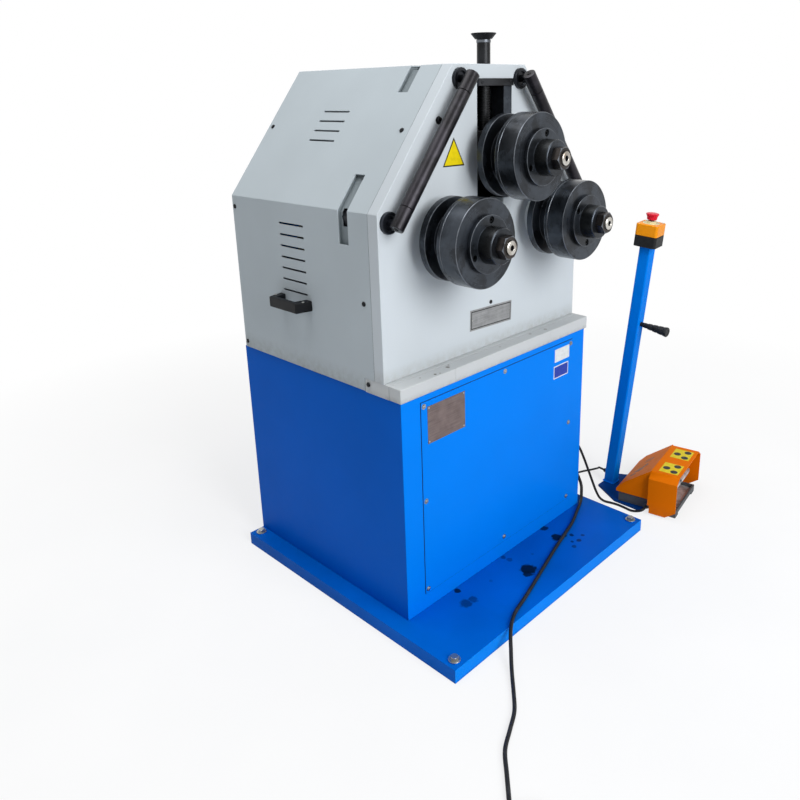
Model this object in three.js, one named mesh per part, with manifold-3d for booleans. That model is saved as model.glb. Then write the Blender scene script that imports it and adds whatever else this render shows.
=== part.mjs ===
// A floor-standing, motor-driven ring roller: three rolls on shafts in a two-plate head, on a sheet steel
// cabinet and tray. A screw on top moves the upper roll, a gear train turns the two lower ones, and a
// leaning post with a stop button stands beside the machine with a double foot switch.
// Millimetres. X runs to the operator's right, Y away from the operator, Z up. The origin is on the floor
// under the middle of the tray.
import * as THREE from 'three';
import { mergeVertices } from 'three/addons/utils/BufferGeometryUtils.js';
import Module from 'manifold-3d';

const wasm = await Module();
wasm.setup();

// Clearances and overruns
const seatGap = 0.3; // between pieces that rest on or reach into each other
const slideGap = 0.4; // each side of the slider in its guides
const runningGap = 0.5; // between a turning shaft and its bore
const overrun = 10; // how far a cutter reaches past what it cuts

// Tray
const traySideMargin = 48; // past the cabinet's sides
const trayFrontMargin = 207; // in front of the cabinet
const trayHeight = 38;
const trayPlate = 8;
const traySkirt = 10;
const trayRibWidth = 70;
const anchorInset = 25;
const anchorHoleRadius = 8.5;
const anchorPad = 62;
const anchorSeatRadius = 16;
const anchorSeatHeight = 2;

// Cabinet
const cabinetHeight = 609;
const cabinetSheet = 3;
const cabinetFlange = 40;
const panelSideMargin = 65; // from the cabinet's edges to the front panel's
const panelLow = 47;
const panelTopMargin = 20;
const panelSheet = 2;
const panelOverlap = 16;
const cabinetTopOpeningWidth = 300;
const cabinetTopOpeningDepth = 180;

// Foot of the head
const soleOverhang = 5; // past the cabinet's sides
const soleHeight = 37;
const ledgeFront = 6; // how far the ledge stands in front of the cabinet
const ledgeDepth = 41;
const soleDepth = 85;

// Head plates, by their outline seen from the front
const headOverhang = 6.5; // past the cabinet's sides
const creaseRise = 75.5; // from the lower axes up to where the sides lean in
const topShoulder = 22; // from the upper tie rods' flanges to the top's corners
const faceSetback = 49; // from the cabinet's front to the front plate's face
const frontPlateThickness = 46;
const plateRebate = 12; // length of the rebate that the hood slides onto
const plateSpacing = 200;
const rearPlateThickness = 40;

// Roll stations
const lowerAxisRise = 367.5; // above the cabinet's top
const axisSpread = 181.5; // from the lower axes up to the upper one, at rest
const bossRadius = 58;
const bossLength = 22;
const sliderBossRadius = 42;
const rearBossLength = 12;

// Slot, gib and slider
const sliderHalfWidth = 52;
const sliderHalfHeight = 60;
const sliderCheek = 24; // how much wider the slider is behind the front plate
const gibWidth = 32;
const sliderHeadroom = 108; // from the slider up to the nut block, at rest
const sliderFootroom = 84; // from the slider down to the slot's end
const slotBridge = 33.5; // of plate above the slot
const gibSetback = 6; // behind the gib, to the front plate's back

// Screw
const spindleRadius = 17;
const spindleCollarRadius = 25;
const spindleCollarHeight = 10;
const spindleFootRoom = 6; // between the screw's foot and the upper shaft
const spindleRiseAboveTop = 59;
const spindleNutHeight = 18;
const spindleNutDepth = 60;
const capTopRadius = 31.5;
const capBaseRadius = 18.5;
const capHeight = 14;
const capRim = 3;

// Shafts
const journalRadius = 30;
const seatRadius = 25;
const threadRadius = 16.5;
const shaftProud = 5.1; // in front of its nut
const shaftChamfer = 2;
const centreHoleRadius = 5;
const centreHoleDepth = 6;
const gearEndRoom = 7; // of shaft behind each gear
const upperShaftTail = 10;

// Rolls, measured outwards from the front plate's face
const hubRadius = 45;
const hubOut = bossLength + runningGap;
const backDiscRadius = 102;
const backDiscOut = 39;
const backDiscThickness = 20;
const spacerRadius = 70;
const rollOut = 97.5;
const rollRadius = 106;
const rollWidth = 60.8;
const rollLip = 3;
const rollGrooveOut = 12.5; // from the roll's back to the joint between its two rings
const rollGroove = 1.5;
const edgeChamfer = 1.5;
const flangeRadius = 69;
const flangeThickness = 10;
const collarRadius = 38;
const collarLength = 33;
const collarChamfer = 4;
const collarWall = 8; // the collar's closed end that the nut presses on
const screwCircleRadius = 57;
const screwHoleRadius = 5;
const screwHoleDepth = 7;
const nutAcrossFlats = 50;
const nutHeight = 26;

// Gear train
const gearModule = 8;
const gearTeeth = 42;
const pinionTeeth = 17;
const pressureAngle = THREE.MathUtils.degToRad(25);
const toothBacklash = 0.8;
const dedendumShare = 1.25;
const gearWidth = 36;
const gearBehindPlate = 17;
const gearHubRadius = 52;
const gearWebRadius = 138; // where the recessed web meets the rim
const gearWebRecess = 6; // on each side
const gearAngle = THREE.MathUtils.degToRad(30.185); // from the pinion to each wheel, above level
const gearSideRoom = 13.5; // between the wheels and the hood
const pinionShaftRadius = 22;
const pinionShaftLength = 70;

// Gearbox and motor
const gearboxGap = 12; // between the pinion and the gearbox
const motorGearRoom = 10; // between the gears and the motor
const gearboxRearRoom = 88; // between the gearbox and the hood's back
const gearboxRadius = 105;
const gearboxSideWidth = 210;
const wormRise = 112;
const wormRadius = 60;
const wormOverhang = 2; // of its tube past the housing, each side
const gearboxFootHeight = 14;
const gearboxFootDrop = 150; // from the output axis to the foot's underside
const gearboxFootWidth = 250;
const standLegThickness = 16;
const outputBossRadius = 52;
const outputBossLength = 8;
const motorFlangeThickness = 12;
const finHeight = 9;
const finCount = 15;
const motorEndRoom = 40.5; // between the fan cowl and the hood
const cowlRadius = 82;
const cowlLap = 1; // past the fins
const cowlLength = 84;
const terminalWidth = 96;
const terminalDepth = 84;
const terminalHeight = 34;

// Tie rods and guide bars
const rodInset = 39; // from the slanted edge of the plate
const rodSlotRoom = 6.6; // between the upper rods' flanges and the slot
const rodLowerAlong = 4; // along the slanted edge, up from the crease
const rodBelowTop = 13; // along the slanted edge, down from its upper end
const rodRadius = 15;
const rodFlangeRadius = 26;
const rodFlangeThickness = 9;
const rodNeckRadius = 9;
const rodNutRadius = 26;
const rodNutOut = 116; // from the front plate's face back to the inner nut
const rodNutThickness = 22;
const rodEndNutThickness = 14;
const barRadius = 17;
const barStandoff = 36; // from the face to the bar's middle
const barOverhang = 14; // past each tie rod
const barSleeveLength = 55;
const barGroove = 1.6;
const barChamfer = 4;
const barSlotWidth = 8;
const barSlotDepth = 26;
const barBoltRadius = 6;
const barBoltLength = 12;

// Hood
const hoodSheet = 3;
const hoodLift = 3; // clear of the cabinet's top
const hoodBackInset = 15;
const hoodNotchGap = 3; // round the screw, in the hood's front edge
const louvreLength = 104;
const louvreHeight = 5;
const louvreFront = 331; // from the cabinet's front
const sideLouvres = 8;
const sideLouvreLowDrop = 235; // below the crease
const sideLouvrePitch = 25.3;
const slantLouvres = 4;
const slantLouvreLow = 186; // up the slant from the crease
const slantLouvrePitch = 29.7;
const backLouvres = 6;
const accessFront = 153; // from the cabinet's front
const accessWidth = 36;
const accessBelowCrease = 81;
const accessAboveCrease = 100;
const accessFromTop = 80;
const accessOnTop = 30;

// Hood handles
const handleLength = 190;
const handleFoot = 50;
const handleStandout = 40;
const handleGrip = 13;
const handleHeight = 26;
const handleFront = 257; // from the cabinet's front
const handleDrop = 256; // below the crease

// Control box and cable glands, inside and outside the cabinet's right wall
const controlWidth = 180;
const controlDepth = 260;
const controlHeight = 340;
const controlFront = 50;
const controlRise = 110;
const controlDoorLip = 3;
const glandPlateLow = 60; // above the tray
const glandPlateHigh = 225;
const glandPlateFront = 25; // from the cabinet's front
const glandPlateBack = 190;
const glandPlateThickness = 4;
const glandHexRadius = 15;
const glandHexLength = 9;
const glandNoseRadius = 11;
const glandNoseLength = 15;
const mainsGland = { front: 45, rise: 82 };
const pedalGland = { front: 55, rise: 197 };
const stopGland = { front: 160, rise: 112 };

// Control post
const postX = 642;
const postFront = 24; // from the cabinet's front
const postWidth = 38;
const postLength = 866;
const postLean = THREE.MathUtils.degToRad(5.8);
const postPlateThickness = 8;
const postPlateNarrow = 54;
const postPlateWide = 107;
const postPlateFlare = 95;
const postPlateLength = 194;
const postGlandAlong = 26;
const postGlandRadius = 8;
const postGlandLength = 14;
const gripAlong = 604;
const gripLength = 95;
const gripRootRadius = 7;
const gripEndRadius = 16;
const gripRibs = 4;
const gripRibDepth = 1.2;
const boxWidth = 72;
const boxBaseHeight = 35;
const boxLidHeight = 37;
const boxCornerRadius = 8;
const boxTurn = THREE.MathUtils.degToRad(7);
const stopCollarRadius = 15;
const stopCollarHeight = 5;
const stopStemRadius = 7;
const stopStemDepth = 20;
const stopCapGap = 7; // between the collar and the mushroom, the button's travel and some spare
const stopCapRadius = 20;
const stopCapBaseRadius = 15.5;
const stopCapHeight = 20;
const stopCapCrown = 3;

// Foot switch, in its own frame: u across, v back from the hood's front edge
const footX = 678;
const footFront = -245; // from the cabinet's front
const footTurn = THREE.MathUtils.degToRad(9.6);
const footBaseSide = 1.7; // outside the pin brackets
const footBaseFront = 6;
const footBaseHigh = 46;
const footPadWidth = 30;
const footPadBack = 50;
const guardSide = 27; // past the base, each side
const guardRearSide = 8;
const guardSheet = 3;
const guardHoodLength = 93;
const shoeRoom = 67; // from the pedals' front up to the guard's roof
const guardCornerWidth = 24;
const guardCornerDrop = 19;
const guardToeLength = 33;
const guardToeRise = 24;
const guardKneeBehind = 24; // behind the pedals' pin
const guardKneeRise = 38; // above the base
const guardTail = 25;
const guardLap = 7; // past the base's back
const pedalWidth = 92;
const pedalGap = 10; // between the two pedals
const pedalFront = 24;
const pedalRise = 12; // from the pin up to the front edge
const pedalThickness = 6;
const pedalRibs = 6;
const pedalRibHeight = 2;
const pedalBossRadius = 9;
const pedalPinRadius = 4;
const pedalPinBack = 158;
const pedalPinRise = 26; // above the base
const pinBracketThickness = 6;
const footGlandBack = 100;
const footGlandHigh = 22;
const footGlandRadius = 9;
const footGlandLength = 14;

// Cords
const mainsDiameter = 10;
const pedalCordDiameter = 8;
const stopCordDiameter = 7;
const cordSides = 8;
const cordStep = 3; // diameters of cord in one step of its tube
const cordLead = 12; // straight out of a gland
const coilTurns = 4;
const coilTurnGap = 0.9; // between neighbouring turns
const coilMiddleRadius = 58;
const coilStepsPerTurn = 24;
const coilSides = 6;
const coilClimb = 0.25; // turns on each side of the middle in which the winding climbs a layer
const coilTail = 12; // straight end of the winding
const coilEntry = { x: -657, y: -778 };
const coilHeading = THREE.MathUtils.degToRad(-137.4);
const plugRadius = 31;
const plugLength = 78;
const plugNoseRadius = 14;
const plugNoseLength = 28;
const plugSleeveRadius = 31;
const plugSleeveLength = 38;
const plugSleeveWall = 3;
const plugPins = 5;
const plugPinRadius = 3;
const plugPinLength = 30;
const plugPinCircle = 17;

// Facets round each kind of turned piece
const rollFacets = 26;
const collarFacets = 20;
const shaftFacets = 16;
const smallFacets = 10;
const barFacets = 12;
const holeFacets = 8;

// Sizes and places that follow from the ones above
const gearDistance = (gearModule * (gearTeeth + pinionTeeth)) / 2;
const gearTip = (gearModule * (gearTeeth + 2)) / 2;
const gearHubLength = gearBehindPlate - rearBossLength - runningGap;
const motorFlangeRadius = cowlRadius;
const motorRadius = cowlRadius - cowlLap - finHeight;
const wormLength = (gearboxRadius + wormOverhang) * 2;
const lowerShaftTail = gearBehindPlate + gearWidth + gearEndRoom;
const spindleSocketDepth = sliderHalfHeight - journalRadius - spindleFootRoom;
const gibDepth = frontPlateThickness - gibSetback;
const lowerAxisOffset = gearDistance * Math.cos(gearAngle);
const headHalfWidth = lowerAxisOffset + gearTip + gearSideRoom + hoodSheet;
const slotLeft = -sliderHalfWidth - slideGap;
const slotRight = sliderHalfWidth + slideGap + gibWidth;
const topHalfWidth = slotRight + rodSlotRoom + rodFlangeRadius + topShoulder;
const cabinetWidth = (headHalfWidth - headOverhang) * 2;
const wallX = cabinetWidth / 2;
const panelWidth = cabinetWidth - panelSideMargin * 2;
const panelHigh = cabinetHeight - panelTopMargin;
const soleWidth = cabinetWidth + soleOverhang * 2;
const trayWidth = cabinetWidth + traySideMargin * 2;
const gearboxDepth = (motorGearRoom + cowlRadius - gearboxGap) * 2;
const cabinetDepth = faceSetback + frontPlateThickness + plateSpacing + rearPlateThickness + gearBehindPlate
  + gearWidth + gearboxGap + gearboxDepth + gearboxRearRoom + hoodBackInset;
const trayDepth = cabinetDepth + trayFrontMargin;
const cabinetBack = trayDepth / 2;
const cabinetFront = cabinetBack - cabinetDepth;
const cabinetTop = trayHeight + cabinetHeight;
const soleTop = cabinetTop + soleHeight;
const faceY = cabinetFront + faceSetback;
const frontPlateBack = faceY + frontPlateThickness;
const rearPlateFront = frontPlateBack + plateSpacing;
const rearPlateBack = rearPlateFront + rearPlateThickness;
const hoodFront = frontPlateBack - plateRebate;
const hoodBack = cabinetBack - hoodBackInset;
const lowerAxisZ = cabinetTop + lowerAxisRise;
const upperAxisZ = lowerAxisZ + axisSpread;
const pinionZ = lowerAxisZ - gearDistance * Math.sin(gearAngle);
const slotTopZ = upperAxisZ + sliderHalfHeight + sliderHeadroom + spindleNutHeight;
const slotBottomZ = upperAxisZ - sliderHalfHeight - sliderFootroom;
const topZ = slotTopZ + slotBridge;
const creaseZ = lowerAxisZ + creaseRise;
const screwY = faceY + frontPlateThickness / 2;
const gearFront = rearPlateBack + gearBehindPlate;
const gearboxFront = gearFront + gearWidth + gearboxGap;
const barY = faceY - barStandoff;
const slantLength = Math.hypot(headHalfWidth - topHalfWidth, topZ - creaseZ);
const slantAngle = Math.atan2(topZ - creaseZ, headHalfWidth - topHalfWidth);
const rodUpperAlong = slantLength - rodBelowTop;
const flangeOut = rollOut + rollWidth + seatGap; // the clamping bush's back
const shaftOut = flangeOut + flangeThickness + collarLength + seatGap + nutHeight + shaftProud;
const motorBodyLength = headHalfWidth - hoodSheet - motorEndRoom - cowlLength - motorFlangeThickness
  - wormLength / 2;
const footBaseHalfWidth = pedalGap / 2 + pedalWidth + seatGap + pinBracketThickness + footBaseSide;
const guardHalfWidth = footBaseHalfWidth + guardSide;
const guardRearHalfWidth = footBaseHalfWidth + guardRearSide;
const guardKneeBack = pedalPinBack + guardKneeBehind;
const guardBack = guardKneeBack + guardTail;
const footBaseBack = guardBack - guardLap;
const guardKneeHigh = footBaseHigh + guardKneeRise;
const pedalPinHigh = footBaseHigh + pedalPinRise;
const pedalFrontHigh = pedalPinHigh + pedalRise;
const guardHigh = pedalFrontHigh + shoeRoom;

// Paints and metals
const paint = (color, roughness) => new THREE.MeshStandardMaterial({ color, roughness, flatShading: true });
const metal = (color, roughness) =>
  new THREE.MeshStandardMaterial({ color, roughness, metalness: 1, flatShading: true });
const bluePaint = paint(0x0a6fe0, 0.4);
const darkBluePaint = paint(0x0a3f9e, 0.45);
const whitePaint = paint(0xd3dbe0, 0.45);
const orangePaint = paint(0xe06a14, 0.45);
const yellowPlastic = paint(0xf09a10, 0.4);
const blackPlastic = paint(0x16181a, 0.5);
const redPlastic = paint(0xd01830, 0.35);
const blackRubber = paint(0x101112, 0.7);
const greyPlastic = paint(0x44484c, 0.6);
const greyPaint = paint(0x7d868c, 0.5);
const blackOxide = metal(0x2a2a2e, 0.4);
const steel = metal(0xb9bcc0, 0.3);
const castAluminium = metal(0x9aa0a4, 0.5);
const castIron = metal(0x6d7175, 0.6);

// A closed geometry as a solid that can be joined and cut
function solid(geometry) {
  const bare = geometry.index ? geometry.toNonIndexed() : geometry.clone();
  bare.deleteAttribute('normal');
  bare.deleteAttribute('uv');
  const merged = mergeVertices(bare, 1e-4);
  const corners = merged.index.array;
  const places = merged.attributes.position.array;
  const kept = [];
  let volume = 0;
  for (let i = 0; i < corners.length; i += 3) {
    const [a, b, c] = corners.slice(i, i + 3);
    if (a === b || b === c || c === a) continue;
    kept.push(a, b, c);
    const [p, q, r] = [a, b, c].map((k) => new THREE.Vector3().fromArray(places, k * 3));
    volume += p.dot(q.cross(r));
  }
  if (volume < 0) kept.reverse();
  const mesh = new wasm.Mesh({
    numProp: 3,
    vertProperties: new Float32Array(places),
    triVerts: new Uint32Array(kept),
  });
  return new wasm.Manifold(mesh);
}

// A solid back as a geometry, for a mesh
function geometryOf(body) {
  const mesh = body.getMesh();
  const geometry = new THREE.BufferGeometry();
  geometry.setAttribute('position', new THREE.BufferAttribute(new Float32Array(mesh.vertProperties), 3));
  geometry.setIndex(new THREE.BufferAttribute(new Uint32Array(mesh.triVerts), 1));
  geometry.computeVertexNormals();
  return geometry;
}

function addPiece(parent, name, body, material) {
  const mesh = new THREE.Mesh(geometryOf(body), material);
  mesh.name = name;
  parent.add(mesh);
  return mesh;
}

const join = (bodies) => bodies.reduce((whole, body) => whole.add(body));
const cut = (body, cutters) => cutters.reduce((rest, cutter) => rest.subtract(cutter), body);

// A block between two corners
function block(x0, x1, y0, y1, z0, z1) {
  const geometry = new THREE.BoxGeometry(x1 - x0, y1 - y0, z1 - z0);
  return solid(geometry.translate((x0 + x1) / 2, (y0 + y1) / 2, (z0 + z1) / 2));
}

const outline = (points) => new THREE.Shape(points.map(([a, b]) => new THREE.Vector2(a, b)));
const mirrored = (points) => [...points, ...points.map(([a, b]) => [-a, b]).reverse()];

// An outline in X and Z, from y0 back to y1
function frontal(shape, y0, y1) {
  const geometry = new THREE.ExtrudeGeometry(shape, { depth: y1 - y0, bevelEnabled: false });
  return solid(geometry.rotateX(Math.PI / 2).translate(0, y1, 0));
}

// An outline in X and Y, from z0 up to z1
function plan(shape, z0, z1) {
  const geometry = new THREE.ExtrudeGeometry(shape, { depth: z1 - z0, bevelEnabled: false });
  return solid(geometry.translate(0, 0, z0));
}

// An outline in Y and Z, from x0 across to x1
function sideways(shape, x0, x1) {
  const geometry = new THREE.ExtrudeGeometry(shape, { depth: x1 - x0, bevelEnabled: false });
  const turn = new THREE.Matrix4().makeBasis(
    new THREE.Vector3(0, 1, 0), new THREE.Vector3(0, 0, 1), new THREE.Vector3(1, 0, 0));
  return solid(geometry.applyMatrix4(turn).translate(x0, 0, 0));
}

// A turned piece on the Y axis, from points of radius and y
function turnedY(points, facets) {
  const profile = points.map(([r, y]) => new THREE.Vector2(r, y));
  return solid(new THREE.LatheGeometry(profile, facets));
}

// The same on the Z axis, and on the X axis
function turnedZ(points, facets) {
  const profile = points.map(([r, z]) => new THREE.Vector2(r, z));
  return solid(new THREE.LatheGeometry(profile, facets).rotateX(Math.PI / 2));
}
function turnedX(points, facets) {
  const profile = points.map(([r, x]) => new THREE.Vector2(r, -x));
  return solid(new THREE.LatheGeometry(profile, facets).rotateZ(Math.PI / 2));
}

// Round bars along each axis, as the pair of ends and a radius
const barAlong = (turned) => (radius, low, high, facets) =>
  turned([[0, low], [radius, low], [radius, high], [0, high]], facets);
const rodY = barAlong(turnedY);
const rodZ = barAlong(turnedZ);
const rodX = barAlong(turnedX);

// Six-sided bar along Y, by its corner radius
const hexY = (radius, low, high) => rodY(radius, low, high, 6);

// Corner radius of a many-sided hole whose flats clear a round pin of the same number of facets
const clearRadius = (radius, gap, facets) => (radius + gap) / Math.cos(Math.PI / facets);

const machine = new THREE.Group();

// Tray: a plate with a skirt, crossed ribs, and in each corner a drilled pad with a raised seat on top
{
  const x = trayWidth / 2;
  const y = trayDepth / 2;
  const under = trayHeight - trayPlate;
  const rib = trayRibWidth / 2;
  const pockets = [];
  for (const sx of [-1, 1]) {
    for (const sy of [-1, 1]) {
      const near = [sx * rib, sx * (x - traySkirt)].sort((a, b) => a - b);
      const far = [sy * rib, sy * (y - traySkirt)].sort((a, b) => a - b);
      const pocket = block(near[0], near[1], far[0], far[1], -overrun, under);
      const padX = [sx * (x - anchorPad), sx * x].sort((a, b) => a - b);
      const padY = [sy * (y - anchorPad), sy * y].sort((a, b) => a - b);
      pockets.push(pocket.subtract(block(padX[0], padX[1], padY[0], padY[1], -overrun, trayHeight)));
    }
  }
  const atCorners = (radius, low, high) => [-1, 1].flatMap((sx) => [-1, 1].map((sy) =>
    rodZ(radius, low, high, holeFacets).translate([sx * (x - anchorInset), sy * (y - anchorInset), 0])));
  const seats = atCorners(anchorSeatRadius, under, trayHeight + anchorSeatHeight);
  const holes = atCorners(anchorHoleRadius, -overrun, trayHeight + overrun);
  const plate = join([block(-x, x, -y, y, 0, trayHeight), ...seats]);
  addPiece(machine, 'base_tray', cut(plate, [...pockets, ...holes]), bluePaint);
}

// Cabinet: a folded box with a flange at its foot, an opening behind the front panel and one in its top
{
  const x = wallX;
  const shell = block(-x, x, cabinetFront, cabinetBack, trayHeight, cabinetTop);
  const room = block(-x + cabinetSheet, x - cabinetSheet, cabinetFront + cabinetSheet,
    cabinetBack - cabinetSheet, trayHeight + cabinetSheet, cabinetTop - cabinetSheet);
  const foot = block(-x + cabinetFlange, x - cabinetFlange, cabinetFront + cabinetFlange,
    cabinetBack - cabinetFlange, trayHeight - overrun, trayHeight + overrun);
  const mouth = block(-panelWidth / 2 + panelOverlap, panelWidth / 2 - panelOverlap,
    cabinetFront - overrun, cabinetFront + cabinetSheet + overrun,
    trayHeight + panelLow + panelOverlap, trayHeight + panelHigh - panelOverlap);
  const topOpening = block(-cabinetTopOpeningWidth / 2, cabinetTopOpeningWidth / 2,
    frontPlateBack + overrun, frontPlateBack + overrun + cabinetTopOpeningDepth,
    cabinetTop - cabinetSheet - overrun, cabinetTop + overrun);
  addPiece(machine, 'cabinet_shell', cut(shell, [room, foot, mouth, topOpening]), bluePaint);
  addPiece(machine, 'cabinet_front_panel', block(-panelWidth / 2, panelWidth / 2, cabinetFront - panelSheet,
    cabinetFront, trayHeight + panelLow, trayHeight + panelHigh), bluePaint);
}

// Sole bar under the front plate, and the ledge in front of it
const ledgeBack = cabinetFront - ledgeFront + ledgeDepth;
addPiece(machine, 'front_ledge', block(-soleWidth / 2, soleWidth / 2, cabinetFront - ledgeFront, ledgeBack,
  cabinetTop, soleTop), whitePaint);
addPiece(machine, 'sole_bar', block(-soleWidth / 2, soleWidth / 2, ledgeBack, ledgeBack + soleDepth,
  cabinetTop, soleTop), whitePaint);

// The head's outline, drawn in by an inset on the sides and top
function headOutline(inset, bottom) {
  const side = headHalfWidth - inset;
  const top = topZ - inset;
  const creaseLower = inset * Math.tan(slantAngle / 2);
  const topDraw = inset / Math.tan(slantAngle) - inset / Math.sin(slantAngle);
  return outline(mirrored([[side, bottom], [side, creaseZ - creaseLower], [topHalfWidth + topDraw, top]]));
}

// Where a point lies that is a way along the slanted edge and an inset below it, on the left or right
function onSlant(sign, along, inset) {
  const x = headHalfWidth - along * Math.cos(slantAngle) - inset * Math.sin(slantAngle);
  const z = creaseZ + along * Math.sin(slantAngle) - inset * Math.cos(slantAngle);
  return { x: sign * x, z };
}

const rodPlaces = {
  upper_left: onSlant(-1, rodUpperAlong, rodInset),
  upper_right: onSlant(1, rodUpperAlong, rodInset),
  lower_left: onSlant(-1, rodLowerAlong, rodInset),
  lower_right: onSlant(1, rodLowerAlong, rodInset),
};

const alongY = (body, x, z) => body.translate([x, 0, z]);
const shaftHole = clearRadius(journalRadius, runningGap, shaftFacets);
const rodHole = clearRadius(rodRadius, seatGap, smallFacets);
const screwHole = clearRadius(spindleRadius, runningGap, shaftFacets);

// Front plate: thick plate with bearing bosses, the slider's slot and a rebate for the hood
{
  const plate = frontal(headOutline(0, soleTop), faceY, hoodFront)
    .add(frontal(headOutline(hoodSheet + seatGap, soleTop), hoodFront - seatGap, frontPlateBack));
  const bosses = [-1, 1].map((s) => alongY(rodY(bossRadius, faceY - bossLength, faceY + seatGap, collarFacets),
    s * lowerAxisOffset, lowerAxisZ));
  const bores = [-1, 1].map((s) => alongY(rodY(shaftHole, faceY - bossLength - overrun,
    frontPlateBack + overrun, shaftFacets), s * lowerAxisOffset, lowerAxisZ));
  const slot = block(slotLeft, slotRight, faceY - overrun, frontPlateBack + overrun, slotBottomZ, slotTopZ);
  const rodBores = Object.values(rodPlaces).map(({ x, z }) =>
    alongY(rodY(rodHole, faceY - overrun, frontPlateBack + overrun, smallFacets), x, z));
  const screwBore = rodZ(screwHole, slotTopZ - overrun, topZ + overrun, shaftFacets).translate([0, screwY, 0]);
  addPiece(machine, 'front_plate', cut(join([plate, ...bosses]), [...bores, slot, ...rodBores, screwBore]),
    whitePaint);
}

// Rear plate: the same outline inside the hood, standing on the cabinet
{
  const plate = frontal(headOutline(hoodSheet + seatGap, cabinetTop), rearPlateFront, rearPlateBack);
  const bosses = [-1, 1].map((s) => alongY(rodY(bossRadius, rearPlateBack - seatGap,
    rearPlateBack + rearBossLength, collarFacets), s * lowerAxisOffset, lowerAxisZ));
  const bores = [-1, 1].map((s) => alongY(rodY(shaftHole, rearPlateFront - overrun,
    rearPlateBack + rearBossLength + overrun, shaftFacets), s * lowerAxisOffset, lowerAxisZ));
  const slot = block(slotLeft, -slotLeft, rearPlateFront - overrun, rearPlateBack + overrun,
    slotBottomZ, slotTopZ);
  const rodBores = Object.values(rodPlaces).map(({ x, z }) =>
    alongY(rodY(rodHole, rearPlateFront - overrun, rearPlateBack + overrun, smallFacets), x, z));
  addPiece(machine, 'rear_plate', cut(join([plate, ...bosses]), [...bores, slot, ...rodBores]), greyPaint);
}

// Gib strip at the slot's right side
addPiece(machine, 'slot_gib', block(slotRight - gibWidth, slotRight - seatGap, faceY, faceY + gibDepth,
  slotBottomZ, slotTopZ - spindleNutHeight), greyPaint);

// Nut block of the screw, across the top of the slot
addPiece(machine, 'spindle_nut', block(slotLeft + seatGap, slotRight - seatGap, screwY - spindleNutDepth / 2,
  screwY + spindleNutDepth / 2, slotTopZ - spindleNutHeight, slotTopZ - seatGap)
  .subtract(rodZ(screwHole, slotTopZ - spindleNutHeight - overrun, slotTopZ + overrun, shaftFacets)
    .translate([0, screwY, 0])), blackOxide);

// Tie rods through both plates: a neck that holds the guide bar, a flange on the face and three nuts
const rodNeckEnd = faceY - barStandoff;
for (const [place, { x, z }] of Object.entries(rodPlaces)) {
  const flangeFront = faceY - rodFlangeThickness;
  const rod = turnedY([
    [0, rodNeckEnd], [rodNeckRadius, rodNeckEnd], [rodNeckRadius, flangeFront],
    [rodFlangeRadius - edgeChamfer, flangeFront], [rodFlangeRadius, flangeFront + edgeChamfer],
    [rodFlangeRadius, faceY], [rodRadius, faceY],
    [rodRadius, rearPlateBack + rodEndNutThickness], [0, rearPlateBack + rodEndNutThickness],
  ], smallFacets);
  const nuts = [
    hexY(rodNutRadius, faceY + rodNutOut, faceY + rodNutOut + rodNutThickness),
    hexY(rodNutRadius, rearPlateBack, rearPlateBack + rodEndNutThickness),
  ];
  addPiece(machine, `tie_rod_${place}`, alongY(join([rod, ...nuts]), x, z), blackOxide);
}

// Guide bars: sleeved round bars in front of the slanted edges, slotted and bolted at both ends
for (const [side, sign] of [['left', -1], ['right', 1]]) {
  const reach = rodUpperAlong - rodLowerAlong;
  const low = -barOverhang;
  const high = reach + barOverhang;
  const groove = (at) => [[barRadius, at - barGroove], [barRadius - barGroove, at],
    [barRadius, at + barGroove]];
  const bar = turnedZ([
    [0, low], [barRadius - barChamfer, low], [barRadius, low + barChamfer],
    ...groove(low + barSleeveLength), ...groove(high - barSleeveLength),
    [barRadius, high - barChamfer], [barRadius - barChamfer, high], [0, high],
  ], barFacets);
  const neckHole = clearRadius(rodNeckRadius, seatGap, smallFacets);
  const cuts = [0, reach].map((at) => rodY(neckHole, -seatGap, barRadius + overrun, smallFacets)
    .translate([0, 0, at]));
  const slots = [[low - overrun, low + barSlotDepth], [high - barSlotDepth, high + overrun]].map(([a, b]) =>
    block(-barSlotWidth / 2, barSlotWidth / 2, -barRadius - overrun, -seatGap * 2, a, b));
  const bolts = [low + barSlotDepth / 2, high - barSlotDepth / 2].map((at) =>
    rodX(barBoltRadius, barSlotWidth, barRadius + barBoltLength / 2, 6)
      .translate([0, -barRadius / 2, at]));
  const whole = join([cut(bar, [...cuts, ...slots]), ...bolts]);
  const foot = rodPlaces[`lower_${side}`];
  const mesh = addPiece(machine, `guide_bar_${side}`, whole, blackOxide);
  mesh.rotation.y = -sign * (Math.PI / 2 - slantAngle);
  mesh.position.set(foot.x, barY, foot.z);
}

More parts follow.
